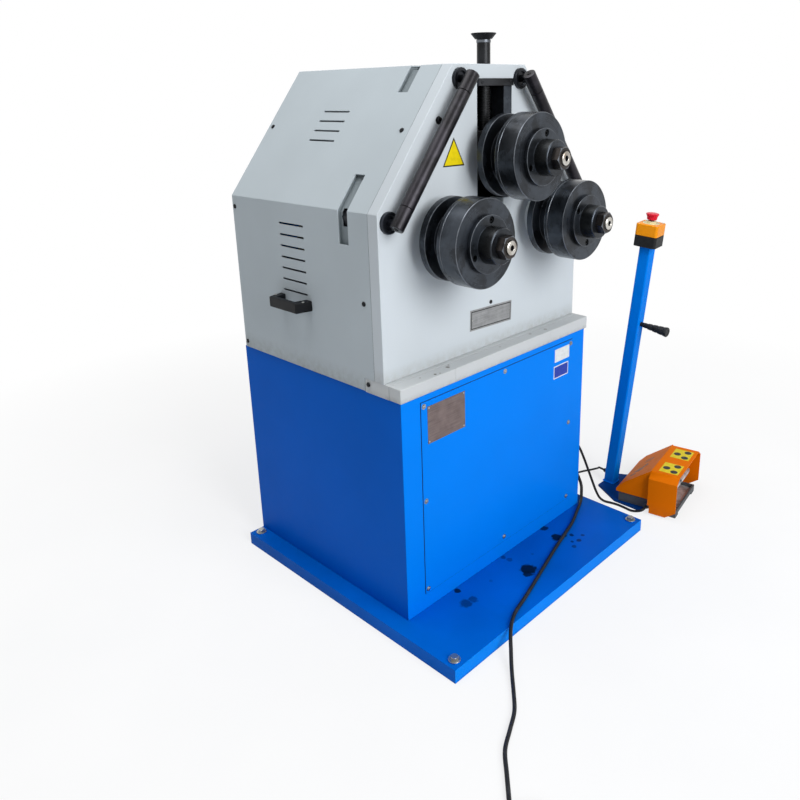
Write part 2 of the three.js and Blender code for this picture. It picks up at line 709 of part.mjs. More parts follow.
// Hood: one folded and welded sheet over the head, with louvres and spanner slots
{
  const bottom = cabinetTop + hoodLift;
  const outside = frontal(headOutline(0, bottom), hoodFront + seatGap, hoodBack);
  const inside = frontal(headOutline(hoodSheet, bottom - overrun), hoodFront - overrun, hoodBack - hoodSheet);
  const soleNotch = block(-headHalfWidth - overrun, headHalfWidth + overrun, hoodFront - overrun,
    ledgeBack + soleDepth + seatGap, bottom - overrun, soleTop + seatGap);
  const louvreY = cabinetFront + louvreFront;
  const louvre = (z) => [-1, 1].map((s) => block(s * headHalfWidth - overrun, s * headHalfWidth + overrun,
    louvreY, louvreY + louvreLength, z, z + louvreHeight));
  const sideCuts = Array.from({ length: sideLouvres }, (_, i) =>
    louvre(creaseZ - sideLouvreLowDrop + i * sideLouvrePitch)).flat();
  const slantCuts = Array.from({ length: slantLouvres }, (_, i) => [-1, 1].map((s) => {
    const { x, z } = onSlant(s, slantLouvreLow + i * slantLouvrePitch, 0);
    const slit = block(-overrun, overrun, louvreY, louvreY + louvreLength, -louvreHeight / 2, louvreHeight / 2);
    return slit.rotate([0, s * THREE.MathUtils.radToDeg(slantAngle - Math.PI / 2), 0]).translate([x, 0, z]);
  })).flat();
  const backCuts = Array.from({ length: backLouvres }, (_, i) => block(-louvreLength / 2, louvreLength / 2,
    hoodBack - hoodSheet - overrun, hoodBack + overrun, creaseZ - i * sideLouvrePitch,
    creaseZ - i * sideLouvrePitch + louvreHeight));
  const accessY = cabinetFront + accessFront;
  const band = (points) => frontal(outline(points), accessY, accessY + accessWidth);
  const accessCuts = [-1, 1].flatMap((s) => {
    const foot = onSlant(s, accessAboveCrease, 0);
    const footIn = onSlant(s, accessAboveCrease, overrun);
    const head = onSlant(s, slantLength - accessFromTop, 0);
    const headIn = onSlant(s, slantLength - accessFromTop, overrun);
    const out = s * (headHalfWidth + overrun);
    const inner = s * (headHalfWidth - overrun);
    return [
      band([[out, creaseZ - accessBelowCrease], [out, foot.z], [foot.x, foot.z], [footIn.x, footIn.z],
        [inner, creaseZ - overrun / 2], [inner, creaseZ - accessBelowCrease]]),
      band([[head.x, head.z], [head.x, topZ + overrun], [s * (topHalfWidth - accessOnTop), topZ + overrun],
        [s * (topHalfWidth - accessOnTop), topZ - overrun], [s * (topHalfWidth - overrun / 2), topZ - overrun],
        [headIn.x, headIn.z]]),
    ];
  });
  const screwNotch = rodZ(clearRadius(spindleRadius, hoodNotchGap, shaftFacets), topZ - overrun, topZ + overrun,
    shaftFacets).translate([0, screwY, 0]);
  const slits = [...sideCuts, ...slantCuts, ...backCuts];
  addPiece(machine, 'head_cover', cut(outside, [inside, soleNotch, screwNotch, ...slits, ...accessCuts]),
    whitePaint);
}

// Hood handles: bridge handles with broad feet
for (const [side, sign] of [['left', -1], ['right', 1]]) {
  const y0 = cabinetFront + handleFront;
  const y1 = y0 + handleLength;
  const wall = headHalfWidth;
  const z = creaseZ - handleDrop;
  const bridge = outline([
    [wall, y0], [wall + handleStandout, y0 + handleFoot / 4], [wall + handleStandout, y1 - handleFoot / 4],
    [wall, y1], [wall, y1 - handleFoot], [wall + handleStandout - handleGrip, y1 - handleFoot * 1.25],
    [wall + handleStandout - handleGrip, y0 + handleFoot * 1.25], [wall, y0 + handleFoot],
  ].map(([a, b]) => [sign * a, b]));
  addPiece(machine, `cover_handle_${side}`, plan(bridge, z - handleHeight / 2, z + handleHeight / 2),
    blackPlastic);
}

// Slider: guide blocks in both plates' slots with a wider body between them, bored for the upper shaft
const upperStation = new THREE.Group();
upperStation.position.set(0, faceY, upperAxisZ);
machine.add(upperStation);
{
  const top = sliderHalfHeight;
  const bodyFront = frontPlateThickness + seatGap;
  const bodyBack = frontPlateThickness + plateSpacing - seatGap;
  const back = bodyBack + rearPlateThickness + seatGap;
  const parts = [
    block(-sliderHalfWidth, sliderHalfWidth, 0, back, -top, top),
    block(-sliderHalfWidth - sliderCheek, sliderHalfWidth + sliderCheek, bodyFront, bodyBack, -top, top),
    rodY(sliderBossRadius, -bossLength, seatGap, collarFacets),
  ];
  const bore = rodY(shaftHole, -bossLength - overrun, back + overrun, shaftFacets);
  const socketY = frontPlateThickness / 2;
  const socket = rodZ(clearRadius(spindleCollarRadius, seatGap, shaftFacets), top - spindleSocketDepth,
    top - spindleSocketDepth + spindleCollarHeight + seatGap * 2, shaftFacets).translate([0, socketY, 0]);
  const neck = rodZ(screwHole, top - spindleSocketDepth, top + overrun, shaftFacets).translate([0, socketY, 0]);
  const front = block(-spindleCollarRadius, spindleCollarRadius, -overrun, socketY,
    top - spindleSocketDepth, top - spindleSocketDepth + spindleCollarHeight + seatGap * 2);
  addPiece(upperStation, 'slider_block', cut(join(parts), [bore, socket, neck, front]), castIron);
}

// Screw: rises as it turns in the nut block, held in the slider by its collar
{
  const foot = upperAxisZ + sliderHalfHeight - spindleSocketDepth + seatGap;
  const head = topZ + spindleRiseAboveTop;
  const spindle = turnedZ([
    [0, foot], [spindleCollarRadius, foot], [spindleCollarRadius, foot + spindleCollarHeight],
    [spindleRadius, foot + spindleCollarHeight], [spindleRadius, head], [0, head],
  ], shaftFacets);
  addPiece(machine, 'spindle', spindle, blackOxide).position.y = screwY;
  const cap = turnedZ([
    [0, head], [capBaseRadius, head], [capTopRadius, head + capHeight - capRim],
    [capTopRadius, head + capHeight], [0, head + capHeight],
  ], shaftFacets);
  addPiece(machine, 'spindle_cap', cap, blackPlastic).position.y = screwY;
}

// One roll station: shaft, back disc with its spacer, roll, clamping bush and nut, out along -Y
function rollPieces(parent, name, tail) {
  const out = (distance) => -distance;
  const bore = clearRadius(seatRadius, seatGap, rollFacets);
  const shaft = turnedY([
    [0, tail], [journalRadius - shaftChamfer, tail], [journalRadius, tail - shaftChamfer],
    [journalRadius, out(bossLength)], [seatRadius, out(bossLength)],
    [seatRadius, out(flangeOut + flangeThickness + collarLength - collarWall - seatGap)],
    [threadRadius, out(flangeOut + flangeThickness + collarLength - collarWall - seatGap)],
    [threadRadius, out(shaftOut - shaftChamfer)], [threadRadius - shaftChamfer, out(shaftOut)],
    [centreHoleRadius, out(shaftOut)], [0, out(shaftOut - centreHoleDepth)],
  ], shaftFacets);
  addPiece(parent, `${name}_shaft`, shaft, steel);

  const discFront = backDiscOut + backDiscThickness;
  const disc = turnedY([
    [bore, out(hubOut)], [hubRadius, out(hubOut)], [hubRadius, out(backDiscOut)],
    [backDiscRadius, out(backDiscOut)],
    [backDiscRadius, out(discFront - edgeChamfer)], [backDiscRadius - edgeChamfer, out(discFront)],
    [spacerRadius, out(discFront)], [spacerRadius, out(rollOut - seatGap)],
    [bore, out(rollOut - seatGap)], [bore, out(hubOut)],
  ], rollFacets);
  addPiece(parent, `${name}_back_disc`, disc, blackOxide);

  const rollFront = rollOut + rollWidth;
  const joint = rollOut + rollGrooveOut;
  const roll = turnedY([
    [bore, out(rollOut)], [rollRadius - rollLip, out(rollOut)], [rollRadius, out(rollOut + rollLip)],
    [rollRadius, out(joint - rollGroove)], [rollRadius - rollGroove, out(joint)],
    [rollRadius, out(joint + rollGroove)], [rollRadius, out(rollFront - edgeChamfer)],
    [rollRadius - edgeChamfer, out(rollFront)], [bore, out(rollFront)], [bore, out(rollOut)],
  ], rollFacets);
  addPiece(parent, `${name}_roll`, roll, blackOxide);

  const flangeFront = flangeOut + flangeThickness;
  const collarFront = flangeFront + collarLength;
  const endHole = clearRadius(threadRadius, seatGap, shaftFacets);
  const bush = turnedY([
    [bore, out(flangeOut)], [flangeRadius, out(flangeOut)], [flangeRadius, out(flangeFront - edgeChamfer)],
    [flangeRadius - edgeChamfer, out(flangeFront)], [collarRadius, out(flangeFront)],
    [collarRadius, out(collarFront - collarChamfer)], [collarRadius - collarChamfer, out(collarFront)],
    [endHole, out(collarFront)], [endHole, out(collarFront - collarWall)],
    [bore, out(collarFront - collarWall)], [bore, out(flangeOut)],
  ], collarFacets);
  const screwHoles = Array.from({ length: 3 }, (_, i) => {
    const angle = Math.PI / 2 + (i * 2 * Math.PI) / 3;
    return rodY(screwHoleRadius, out(flangeFront + overrun), out(flangeFront - screwHoleDepth), holeFacets)
      .translate([screwCircleRadius * Math.cos(angle), 0, screwCircleRadius * Math.sin(angle)]);
  });
  addPiece(parent, `${name}_roll_clamp`, cut(bush, screwHoles), blackOxide);

  const nutCorner = nutAcrossFlats / 2 / Math.cos(Math.PI / 6);
  const nutBack = collarFront + seatGap;
  const nut = hexY(nutCorner, out(nutBack + nutHeight), out(nutBack))
    .subtract(rodY(endHole, out(nutBack + nutHeight + overrun), out(nutBack - overrun), shaftFacets));
  addPiece(parent, `${name}_roll_nut`, nut, blackOxide);
}

rollPieces(upperStation, 'upper', frontPlateThickness + plateSpacing + rearPlateThickness + upperShaftTail);

// Involute spur gear outline: tooth centres at multiples of the pitch angle from the phase
function gearShape(teeth, phase) {
  const pitch = (gearModule * teeth) / 2;
  const base = pitch * Math.cos(pressureAngle);
  const tip = pitch + gearModule;
  const root = pitch - dedendumShare * gearModule;
  const roll = (r) => {
    const angle = Math.acos(Math.min(1, base / r));
    return Math.tan(angle) - angle;
  };
  const halfTooth = Math.PI / (2 * teeth) - toothBacklash / (2 * pitch);
  const half = (r) => halfTooth + roll(pitch) - roll(Math.max(r, base));
  const radii = root < base ? [root, base, pitch, tip] : [root, pitch, tip];
  const points = [];
  for (let i = 0; i < teeth; i += 1) {
    const centre = phase + (i * 2 * Math.PI) / teeth;
    const put = (r, angle) => points.push([r * Math.cos(angle), r * Math.sin(angle)]);
    radii.forEach((r) => put(r, centre - half(r)));
    [...radii].reverse().forEach((r) => put(r, centre + half(r)));
  }
  return outline(points);
}

// Phase of a gear in mesh with the pinion, from the way the gear lies from the pinion
const pinionPhase = Math.PI / 2;
function meshPhase(direction) {
  const pitchesPast = (direction - pinionPhase) / ((2 * Math.PI) / pinionTeeth);
  return direction + Math.PI - (0.5 - pitchesPast) * ((2 * Math.PI) / gearTeeth);
}

// Lower stations: the same roll pieces, and a gear on each shaft behind the rear plate
for (const [side, sign] of [['left', -1], ['right', 1]]) {
  const station = new THREE.Group();
  station.position.set(sign * lowerAxisOffset, faceY, lowerAxisZ);
  machine.add(station);
  const tail = frontPlateThickness + plateSpacing + rearPlateThickness + lowerShaftTail;
  rollPieces(station, `lower_${side}`, tail);

  const direction = Math.atan2(lowerAxisZ - pinionZ, sign * lowerAxisOffset);
  const front = gearFront - faceY;
  const wheel = frontal(gearShape(gearTeeth, meshPhase(direction)), front, front + gearWidth)
    .add(rodY(gearHubRadius, front - gearHubLength, front + gearWidth / 2, collarFacets));
  const recess = (from, to) => rodY(gearWebRadius, from, to, shaftFacets)
    .subtract(rodY(gearHubRadius, from - overrun, to + overrun, collarFacets));
  const recesses = [recess(front - overrun, front + gearWebRecess),
    recess(front + gearWidth - gearWebRecess, front + gearWidth + overrun)];
  const bore = rodY(clearRadius(journalRadius, seatGap, shaftFacets), front - overrun * 2,
    front + gearWidth + overrun, shaftFacets);
  addPiece(station, `gear_${side}`, cut(wheel, [bore, ...recesses]), steel);
}

// Pinion with its shaft, below and between the two gears
{
  const pinion = frontal(gearShape(pinionTeeth, pinionPhase), gearFront, gearFront + gearWidth)
    .add(rodY(pinionShaftRadius, gearFront + gearWidth - seatGap,
      gearFront + gearWidth + pinionShaftLength, shaftFacets));
  addPiece(machine, 'drive_pinion', pinion, steel).position.z = pinionZ;
}

// Gearbox: a round worm wheel housing with the worm's tube across its top, on a foot and two stand legs
const gearboxBack = gearboxFront + gearboxDepth;
const wormY = (gearboxFront + gearboxBack) / 2;
const wormZ = pinionZ + wormRise;
{
  const foot = pinionZ - gearboxFootDrop;
  const half = gearboxFootWidth / 2;
  const housing = join([
    alongY(rodY(gearboxRadius, gearboxFront, gearboxBack, collarFacets), 0, pinionZ),
    block(-gearboxSideWidth / 2, gearboxSideWidth / 2, gearboxFront + overrun, gearboxBack - overrun,
      foot, pinionZ),
    rodX(wormRadius, -wormLength / 2, wormLength / 2, collarFacets).translate([0, wormY, wormZ]),
    block(-wormRadius, wormRadius, wormY - wormRadius, wormY + wormRadius, pinionZ, wormZ),
    block(-half, half, gearboxFront, gearboxBack, foot - gearboxFootHeight, foot),
    alongY(rodY(outputBossRadius, gearboxFront - outputBossLength, gearboxFront + seatGap, collarFacets),
      0, pinionZ),
    block(-half, -half + standLegThickness, gearboxFront, gearboxBack, cabinetTop, foot),
    block(half - standLegThickness, half, gearboxFront, gearboxBack, cabinetTop, foot),
  ]);
  const bore = alongY(rodY(clearRadius(pinionShaftRadius, runningGap, shaftFacets),
    gearboxFront - outputBossLength - overrun, gearFront + gearWidth + pinionShaftLength + overrun,
    shaftFacets), 0, pinionZ);
  addPiece(machine, 'gearbox', housing.subtract(bore), castAluminium);
}

// Motor: finned body between its flange and fan cowl, with a terminal box on top
{
  const flangeX = wormLength / 2;
  const bodyX = flangeX + motorFlangeThickness;
  const cowlX = bodyX + motorBodyLength;
  const fins = [];
  for (let i = 0; i < finCount; i += 1) {
    const at = (share) => ((i + share) * 2 * Math.PI) / finCount;
    [[0, motorRadius], [0.5, motorRadius], [0.55, motorRadius + finHeight], [0.95, motorRadius + finHeight]]
      .forEach(([share, r]) => fins.push([r * Math.cos(at(share)), r * Math.sin(at(share))]));
  }
  const body = sideways(outline(fins), bodyX - seatGap, cowlX + seatGap);
  const motor = join([
    body,
    rodX(motorFlangeRadius, flangeX, bodyX, collarFacets),
    turnedX([[0, cowlX], [cowlRadius, cowlX], [cowlRadius, cowlX + cowlLength - barChamfer * 2],
      [cowlRadius - barChamfer * 2, cowlX + cowlLength], [0, cowlX + cowlLength]], collarFacets),
    block(bodyX + finHeight, bodyX + finHeight + terminalWidth, -terminalDepth / 2, terminalDepth / 2,
      motorRadius / 2, motorRadius + finHeight + terminalHeight),
  ]);
  const mesh = addPiece(machine, 'motor', motor, bluePaint);
  mesh.rotation.z = Math.PI;
  mesh.position.set(-seatGap, wormY, wormZ);
}

// Control box on the inside of the cabinet's right wall, with a raised door
{
  const x1 = wallX - cabinetSheet - seatGap;
  const x0 = x1 - controlWidth;
  const y0 = cabinetFront + controlFront;
  const z0 = trayHeight + controlRise;
  const lip = controlDoorLip * 4;
  addPiece(machine, 'control_box', join([
    block(x0, x1, y0, y0 + controlDepth, z0, z0 + controlHeight),
    block(x0 - controlDoorLip, x0 + seatGap, y0 + lip, y0 + controlDepth - lip, z0 + lip,
      z0 + controlHeight - lip),
  ]), greyPaint);
}

// Gland plate on the cabinet's right wall, with the three glands screwed into it
const glandEnd = wallX + glandPlateThickness + glandHexLength + glandNoseLength;
{
  const plate = block(wallX, wallX + glandPlateThickness, cabinetFront + glandPlateFront,
    cabinetFront + glandPlateBack, trayHeight + glandPlateLow, trayHeight + glandPlateHigh);
  const hexEnd = wallX + glandPlateThickness + glandHexLength;
  const glands = [mainsGland, pedalGland, stopGland].map(({ front, rise }) => turnedX([
    [0, wallX + glandPlateThickness - seatGap], [glandHexRadius, wallX + glandPlateThickness - seatGap],
    [glandHexRadius, hexEnd], [glandNoseRadius, hexEnd], [glandNoseRadius * 0.8, glandEnd], [0, glandEnd],
  ], 12).translate([0, cabinetFront + front, trayHeight + rise]));
  addPiece(machine, 'gland_plate', join([plate, ...glands]), blackPlastic);
}

// Control post: flared foot plate, leaning square tube, a tapered grip, and the stop button's box on top
const post = new THREE.Group();
post.position.set(postX, cabinetFront + postFront, 0);
machine.add(post);
{
  const back = postWidth / 2;
  const plate = outline(mirrored([[postPlateNarrow, back], [postPlateWide, back - postPlateFlare],
    [postPlateWide, back - postPlateLength]]).map(([a, b]) => [-a, b]));
  addPiece(post, 'post_foot_plate', plan(plate, 0, postPlateThickness), darkBluePaint);
}
const leaning = new THREE.Group();
leaning.position.z = postPlateThickness + postWidth / 2 * Math.sin(postLean) + seatGap;
leaning.rotation.x = postLean;
post.add(leaning);
{
  const half = postWidth / 2;
  const tube = block(-half, half, -half, half, 0, postLength);
  const gland = turnedY([[0, half - seatGap], [postGlandRadius, half - seatGap],
    [postGlandRadius, half + postGlandLength / 2], [postGlandRadius * 0.7, half + postGlandLength],
    [0, half + postGlandLength]], smallFacets).translate([0, 0, postGlandAlong]);
  addPiece(leaning, 'post_tube', tube.add(gland), bluePaint);

  const ribPitch = gripLength / (gripRibs * 2 + 2);
  const profile = [[0, 0], [gripRootRadius, 0]];
  for (let i = 0; i < gripRibs; i += 1) {
    const start = gripLength - ribPitch * 2 * (gripRibs - i);
    const radius = (at) => gripRootRadius + (gripEndRadius - gripRootRadius) * (at / gripLength);
    profile.push([radius(start), start], [radius(start) - gripRibDepth, start + ribPitch / 2],
      [radius(start + ribPitch), start + ribPitch]);
  }
  profile.push([gripEndRadius, gripLength - ribPitch / 2], [gripEndRadius - gripRibDepth, gripLength],
    [0, gripLength]);
  const grip = turnedY(profile.map(([r, at]) => [r, -at]), smallFacets);
  addPiece(leaning, 'post_grip', grip, blackRubber).position.set(0, -half - seatGap, gripAlong);
}

const stopBox = new THREE.Group();
stopBox.position.z = postLength + seatGap;
stopBox.rotation.z = boxTurn;
leaning.add(stopBox);
{
  const half = boxWidth / 2;
  const roundedSquare = () => {
    const shape = new THREE.Shape();
    const inner = half - boxCornerRadius;
    [[inner, -inner, -Math.PI / 2], [inner, inner, 0], [-inner, inner, Math.PI / 2], [-inner, -inner, Math.PI]]
      .forEach(([x, y, start]) => shape.absarc(x, y, boxCornerRadius, start, start + Math.PI / 2));
    return new THREE.Shape(shape.getPoints(4));
  };
  addPiece(stopBox, 'stop_box_base', plan(roundedSquare(), 0, boxBaseHeight), blackPlastic);
  const lidLow = boxBaseHeight + seatGap;
  const lidTop = lidLow + boxLidHeight;
  const stemHole = clearRadius(stopStemRadius, runningGap, smallFacets);
  const lid = plan(roundedSquare(), lidLow, lidTop)
    .add(rodZ(stopCollarRadius, lidTop - seatGap, lidTop + stopCollarHeight, collarFacets))
    .subtract(rodZ(stemHole, lidTop - stopStemDepth - stopCapGap, lidTop + stopCollarHeight + overrun,
      smallFacets));
  addPiece(stopBox, 'stop_box_lid', lid, yellowPlastic);

  const capLow = lidTop + stopCollarHeight + stopCapGap;
  const stemTop = capLow + stopCapHeight / 2;
  const stem = rodZ(stopStemRadius, lidTop - stopStemDepth, stemTop, smallFacets);
  addPiece(stopBox, 'stop_stem', stem, greyPlastic);
  const cap = turnedZ([
    [0, capLow], [stopCapBaseRadius, capLow], [stopCapRadius, capLow + stopCapHeight - stopCapCrown],
    [stopCapRadius - stopCapCrown, capLow + stopCapHeight], [0, capLow + stopCapHeight],
  ], collarFacets).subtract(rodZ(stemHole, capLow - overrun, stemTop + runningGap, smallFacets));
  addPiece(stopBox, 'stop_cap', cap, redPlastic);
}

// Foot switch: base with its pin brackets, sheet steel guard, and two ribbed pedals on one pin
const footSwitch = new THREE.Group();
footSwitch.position.set(footX, cabinetFront + footFront, 0);
footSwitch.rotation.z = footTurn;
machine.add(footSwitch);
{
  const half = footBaseHalfWidth;
  const low = postPlateThickness + seatGap;
  const base = block(-half, half, footBaseFront, footBaseBack, low, footBaseHigh);
  const pads = [-1, 1].map((s) => {
    const [a, b] = [s * half, s * (half - footPadWidth)].sort((m, n) => m - n);
    return block(a, b, footBaseFront, footPadBack, 0, low + seatGap);
  });
  const brackets = [-1, 0, 1].map((s) => {
    const x = s * (pedalGap / 2 + pedalWidth + seatGap + pinBracketThickness / 2);
    return block(x - pinBracketThickness / 2, x + pinBracketThickness / 2, pedalPinBack - pedalBossRadius,
      pedalPinBack + pedalBossRadius, footBaseHigh - seatGap, pedalPinHigh + pedalBossRadius);
  });
  const pinHole = rodX(clearRadius(pedalPinRadius, seatGap, smallFacets), -half - overrun, half + overrun,
    smallFacets).translate([0, pedalPinBack, pedalPinHigh]);
  const gland = rodX(footGlandRadius, -half - footGlandLength, -half + seatGap, smallFacets)
    .translate([0, footGlandBack, footGlandHigh]);
  addPiece(footSwitch, 'foot_switch_base', join([base, ...pads, ...brackets, gland]).subtract(pinHole),
    greyPlastic);

  const pinReach = pedalGap / 2 + pedalWidth + seatGap + pinBracketThickness;
  addPiece(footSwitch, 'pedal_pin', rodX(pedalPinRadius, -pinReach, pinReach, smallFacets)
    .translate([0, pedalPinBack, pedalPinHigh]), steel);

  const slope = (at) => pedalPinHigh + ((pedalFrontHigh - pedalPinHigh) * (pedalPinBack - at))
    / (pedalPinBack - pedalFront);
  const under = pedalThickness;
  const profile = [[pedalPinBack, slope(pedalPinBack) - under], [pedalPinBack, slope(pedalPinBack)]];
  const ribPitch = (pedalPinBack - pedalFront) * 0.4 / pedalRibs;
  for (let i = 0; i < pedalRibs; i += 1) {
    const back = pedalFront + ribPitch * (pedalRibs - i);
    profile.push([back, slope(back)], [back - ribPitch / 3, slope(back) + pedalRibHeight],
      [back - ribPitch / 2, slope(back) + pedalRibHeight], [back - ribPitch * 0.8, slope(back)]);
  }
  profile.push([pedalFront, slope(pedalFront)], [pedalFront, slope(pedalFront) - under * 2],
    [pedalFront + under, slope(pedalFront) - under * 2], [pedalFront + under, slope(pedalFront) - under]);
  for (const [side, sign] of [['left', -1], ['right', 1]]) {
    const [a, b] = [sign * (pedalGap / 2), sign * (pedalGap / 2 + pedalWidth)].sort((m, n) => m - n);
    const boss = rodX(pedalBossRadius, a, b, smallFacets).translate([0, pedalPinBack, pedalPinHigh]);
    const hole = rodX(clearRadius(pedalPinRadius, runningGap, smallFacets), a - overrun, b + overrun,
      smallFacets).translate([0, pedalPinBack, pedalPinHigh]);
    const plate = sideways(outline(profile), a, b);
    addPiece(footSwitch, `pedal_${side}`, plate.add(boss).subtract(hole), steel);
  }

  const hoodSection = (inset, bottom) => {
    const side = guardHalfWidth - inset;
    return outline(mirrored([[side, bottom], [side, guardHigh - guardCornerDrop - inset / 2],
      [side - guardCornerWidth, guardHigh - inset]]));
  };
  const rearSection = (inset) => outline([
    [guardHoodLength - guardSheet - inset, footBaseHigh - inset], [guardBack - inset, footBaseHigh - inset],
    [guardBack - inset, footBaseHigh + overrun], [guardKneeBack - inset / 2, guardKneeHigh - inset],
    [guardHoodLength - inset / 2, guardHigh - inset],
    [guardHoodLength - guardSheet - inset, guardHigh - inset],
  ]);
  const outside = frontal(hoodSection(0, low), 0, guardHoodLength)
    .add(sideways(rearSection(0), -guardRearHalfWidth, guardRearHalfWidth));
  const inside = frontal(hoodSection(guardSheet, low - overrun), -overrun, guardHoodLength - guardSheet)
    .add(sideways(rearSection(guardSheet), -guardRearHalfWidth + guardSheet, guardRearHalfWidth - guardSheet));
  const toe = sideways(outline([[-overrun, low - overrun], [guardToeLength, low - overrun],
    [guardToeLength, low], [0, low + guardToeRise], [-overrun, low + guardToeRise]]),
  -guardHalfWidth - overrun, guardHalfWidth + overrun);
  const baseRoom = block(-half - seatGap, half + seatGap, guardHoodLength - guardSheet * 2, guardBack + overrun,
    low - overrun, footBaseHigh + seatGap);
  const glandRoom = block(-guardHalfWidth - overrun, -half, footGlandBack - footGlandRadius * 1.5,
    footGlandBack + footGlandRadius * 1.5, low - overrun, footGlandHigh + footGlandRadius * 1.5);
  addPiece(footSwitch, 'foot_switch_guard', cut(outside, [inside, toe, baseRoom, glandRoom]), orangePaint);
}

// A cord as a round tube along a smooth curve
function cordAlong(curve, diameter, sides, steps) {
  const ring = Array.from({ length: sides }, (_, i) => {
    const angle = ((i + 0.5) * 2 * Math.PI) / sides;
    return [(diameter / 2) * Math.cos(angle), (diameter / 2) * Math.sin(angle)];
  });
  return solid(new THREE.ExtrudeGeometry(outline(ring), { extrudePath: curve, steps, bevelEnabled: false }));
}
function freeCord(name, points, diameter) {
  const curve = new THREE.CatmullRomCurve3(points.map((p) => new THREE.Vector3(...p)), false, 'centripetal');
  const steps = Math.round(curve.getLength() / (diameter * cordStep));
  addPiece(machine, name, cordAlong(curve, diameter, cordSides, steps), blackRubber);
  console.log(`${name}: ${(curve.getLength() / 1000).toFixed(3)} m`);
}

// Coil of the mains lead: round and in along the floor, up a layer, round and out on top, up to the plug
const cordFloor = (diameter) => diameter / 2 + seatGap;
const coilPitch = mainsDiameter + coilTurnGap;
const coilInner = coilMiddleRadius - (coilPitch * coilTurns) / 4;
const coilOuter = coilMiddleRadius + (coilPitch * coilTurns) / 4;
const coilEnd = coilTurns / 2;
const heading = (angle) => new THREE.Vector3(Math.cos(angle), Math.sin(angle), 0);
const coilExitHeading = coilHeading + coilTurns * 2 * Math.PI;
class CoilCurve extends THREE.Curve {
  // The place that is so many turns past the middle of the winding
  wound(turns) {
    const turned = coilHeading - Math.PI / 2 + (turns + coilEnd) * 2 * Math.PI;
    const centre = heading(coilHeading + Math.PI / 2).multiplyScalar(coilOuter);
    const layer = THREE.MathUtils.smoothstep(turns, -coilClimb, coilClimb) * coilPitch;
    const lift = THREE.MathUtils.smoothstep(turns, coilEnd - coilClimb, coilEnd)
      * (plugSleeveRadius - cordFloor(mainsDiameter) - coilPitch);
    return heading(turned).multiplyScalar(coilInner + coilPitch * Math.abs(turns)).add(centre)
      .add(new THREE.Vector3(coilEntry.x, coilEntry.y, cordFloor(mainsDiameter) + layer + lift));
  }

  getPoint(t) {
    const tailTurns = coilTail / (2 * Math.PI * coilOuter);
    const turns = THREE.MathUtils.lerp(-coilEnd - tailTurns, coilEnd + tailTurns, t);
    const on = THREE.MathUtils.clamp(turns, -coilEnd, coilEnd);
    const straight = (turns - on) * 2 * Math.PI * coilOuter;
    return this.wound(on).add(heading(coilHeading + (on + coilEnd) * 2 * Math.PI).multiplyScalar(straight));
  }
}
const coilPath = new CoilCurve();
coilPath.arcLengthDivisions = coilStepsPerTurn * coilTurns * 8;
addPiece(machine, 'mains_coil', cordAlong(coilPath, mainsDiameter, coilSides, coilStepsPerTurn * coilTurns),
  blackRubber);

// Least gap between the coil's turns, on points along its middle
function leastGap(path, diameter) {
  const points = path.getSpacedPoints(Math.round(path.getLength() / (diameter / 4)));
  const apart = 12; // points, three diameters along the cord
  let least = Infinity;
  points.forEach((a, i) => points.slice(i + apart).forEach((b) => {
    least = Math.min(least, a.distanceTo(b));
  }));
  return least - diameter;
}
console.log(`mains_coil: ${(coilPath.getLength() / 1000).toFixed(3)} m`);
console.log(`mains_coil least gap: ${leastGap(coilPath, mainsDiameter).toFixed(2)} mm`);

// Plug at the coil's end: tapered gland, grip body, and an open sleeve with the pins inside
{
  const bodyEnd = plugNoseLength + plugLength;
  const sleeveEnd = bodyEnd + plugSleeveLength;
  const floor = bodyEnd + plugSleeveWall;
  const inside = plugSleeveRadius - plugSleeveWall;
  const shell = turnedY([
    [0, 0], [plugNoseRadius * 0.7, 0], [plugNoseRadius, plugNoseLength],
    [plugRadius, plugNoseLength + plugRadius / 2], [plugRadius, bodyEnd - plugRadius / 2],
    [plugSleeveRadius, bodyEnd], [plugSleeveRadius, sleeveEnd], [inside, sleeveEnd], [inside, floor], [0, floor],
  ], shaftFacets);
  const pins = Array.from({ length: plugPins }, (_, i) => {
    const angle = (i * 2 * Math.PI) / plugPins;
    return rodY(plugPinRadius, floor - seatGap, floor + plugPinLength, 6)
      .translate([plugPinCircle * Math.cos(angle), 0, plugPinCircle * Math.sin(angle)]);
  });
  const plug = addPiece(machine, 'mains_plug', join([shell, ...pins]), blackPlastic);
  plug.rotation.z = coilExitHeading - Math.PI / 2;
  plug.position.copy(coilPath.getPoint(1)).addScaledVector(heading(coilExitHeading), seatGap);
}

// Free stretches of the cords, from their glands along the tray and the floor
machine.updateMatrixWorld(true);
const glandMouth = ({ front, rise }, ahead) =>
  [glandEnd + ahead, cabinetFront + front, trayHeight + rise];
const f = cordFloor(mainsDiameter);
const onTray = trayHeight + f;
const coilMouth = (before) => coilPath.getPoint(0).addScaledVector(heading(coilHeading), -before).toArray();
freeCord('mains_cable', [
  glandMouth(mainsGland, seatGap), glandMouth(mainsGland, cordLead), [440, -186, 112], [447, -195, 92],
  [446, -205, 69], [434, -214, 52], [413, -227, onTray + 0.7], [380, -243, onTray], [342, -258, onTray],
  [272, -286, onTray], [207, -304, onTray], [122, -327, onTray], [-6, -365, onTray],
  [-118, -398, onTray], [-187, -417, onTray + 0.3], [-230, -439, onTray + 1], [-258, -459, 37],
  [-284, -481, 24], [-310, -503, 13], [-338, -528, 7], [-370, -557, f], [-412, -592, f],
  [-460, -617, f], [-508, -642, f], [-551, -681, f], [-594, -721, f], coilMouth(cordLead), coilMouth(seatGap),
], mainsDiameter);

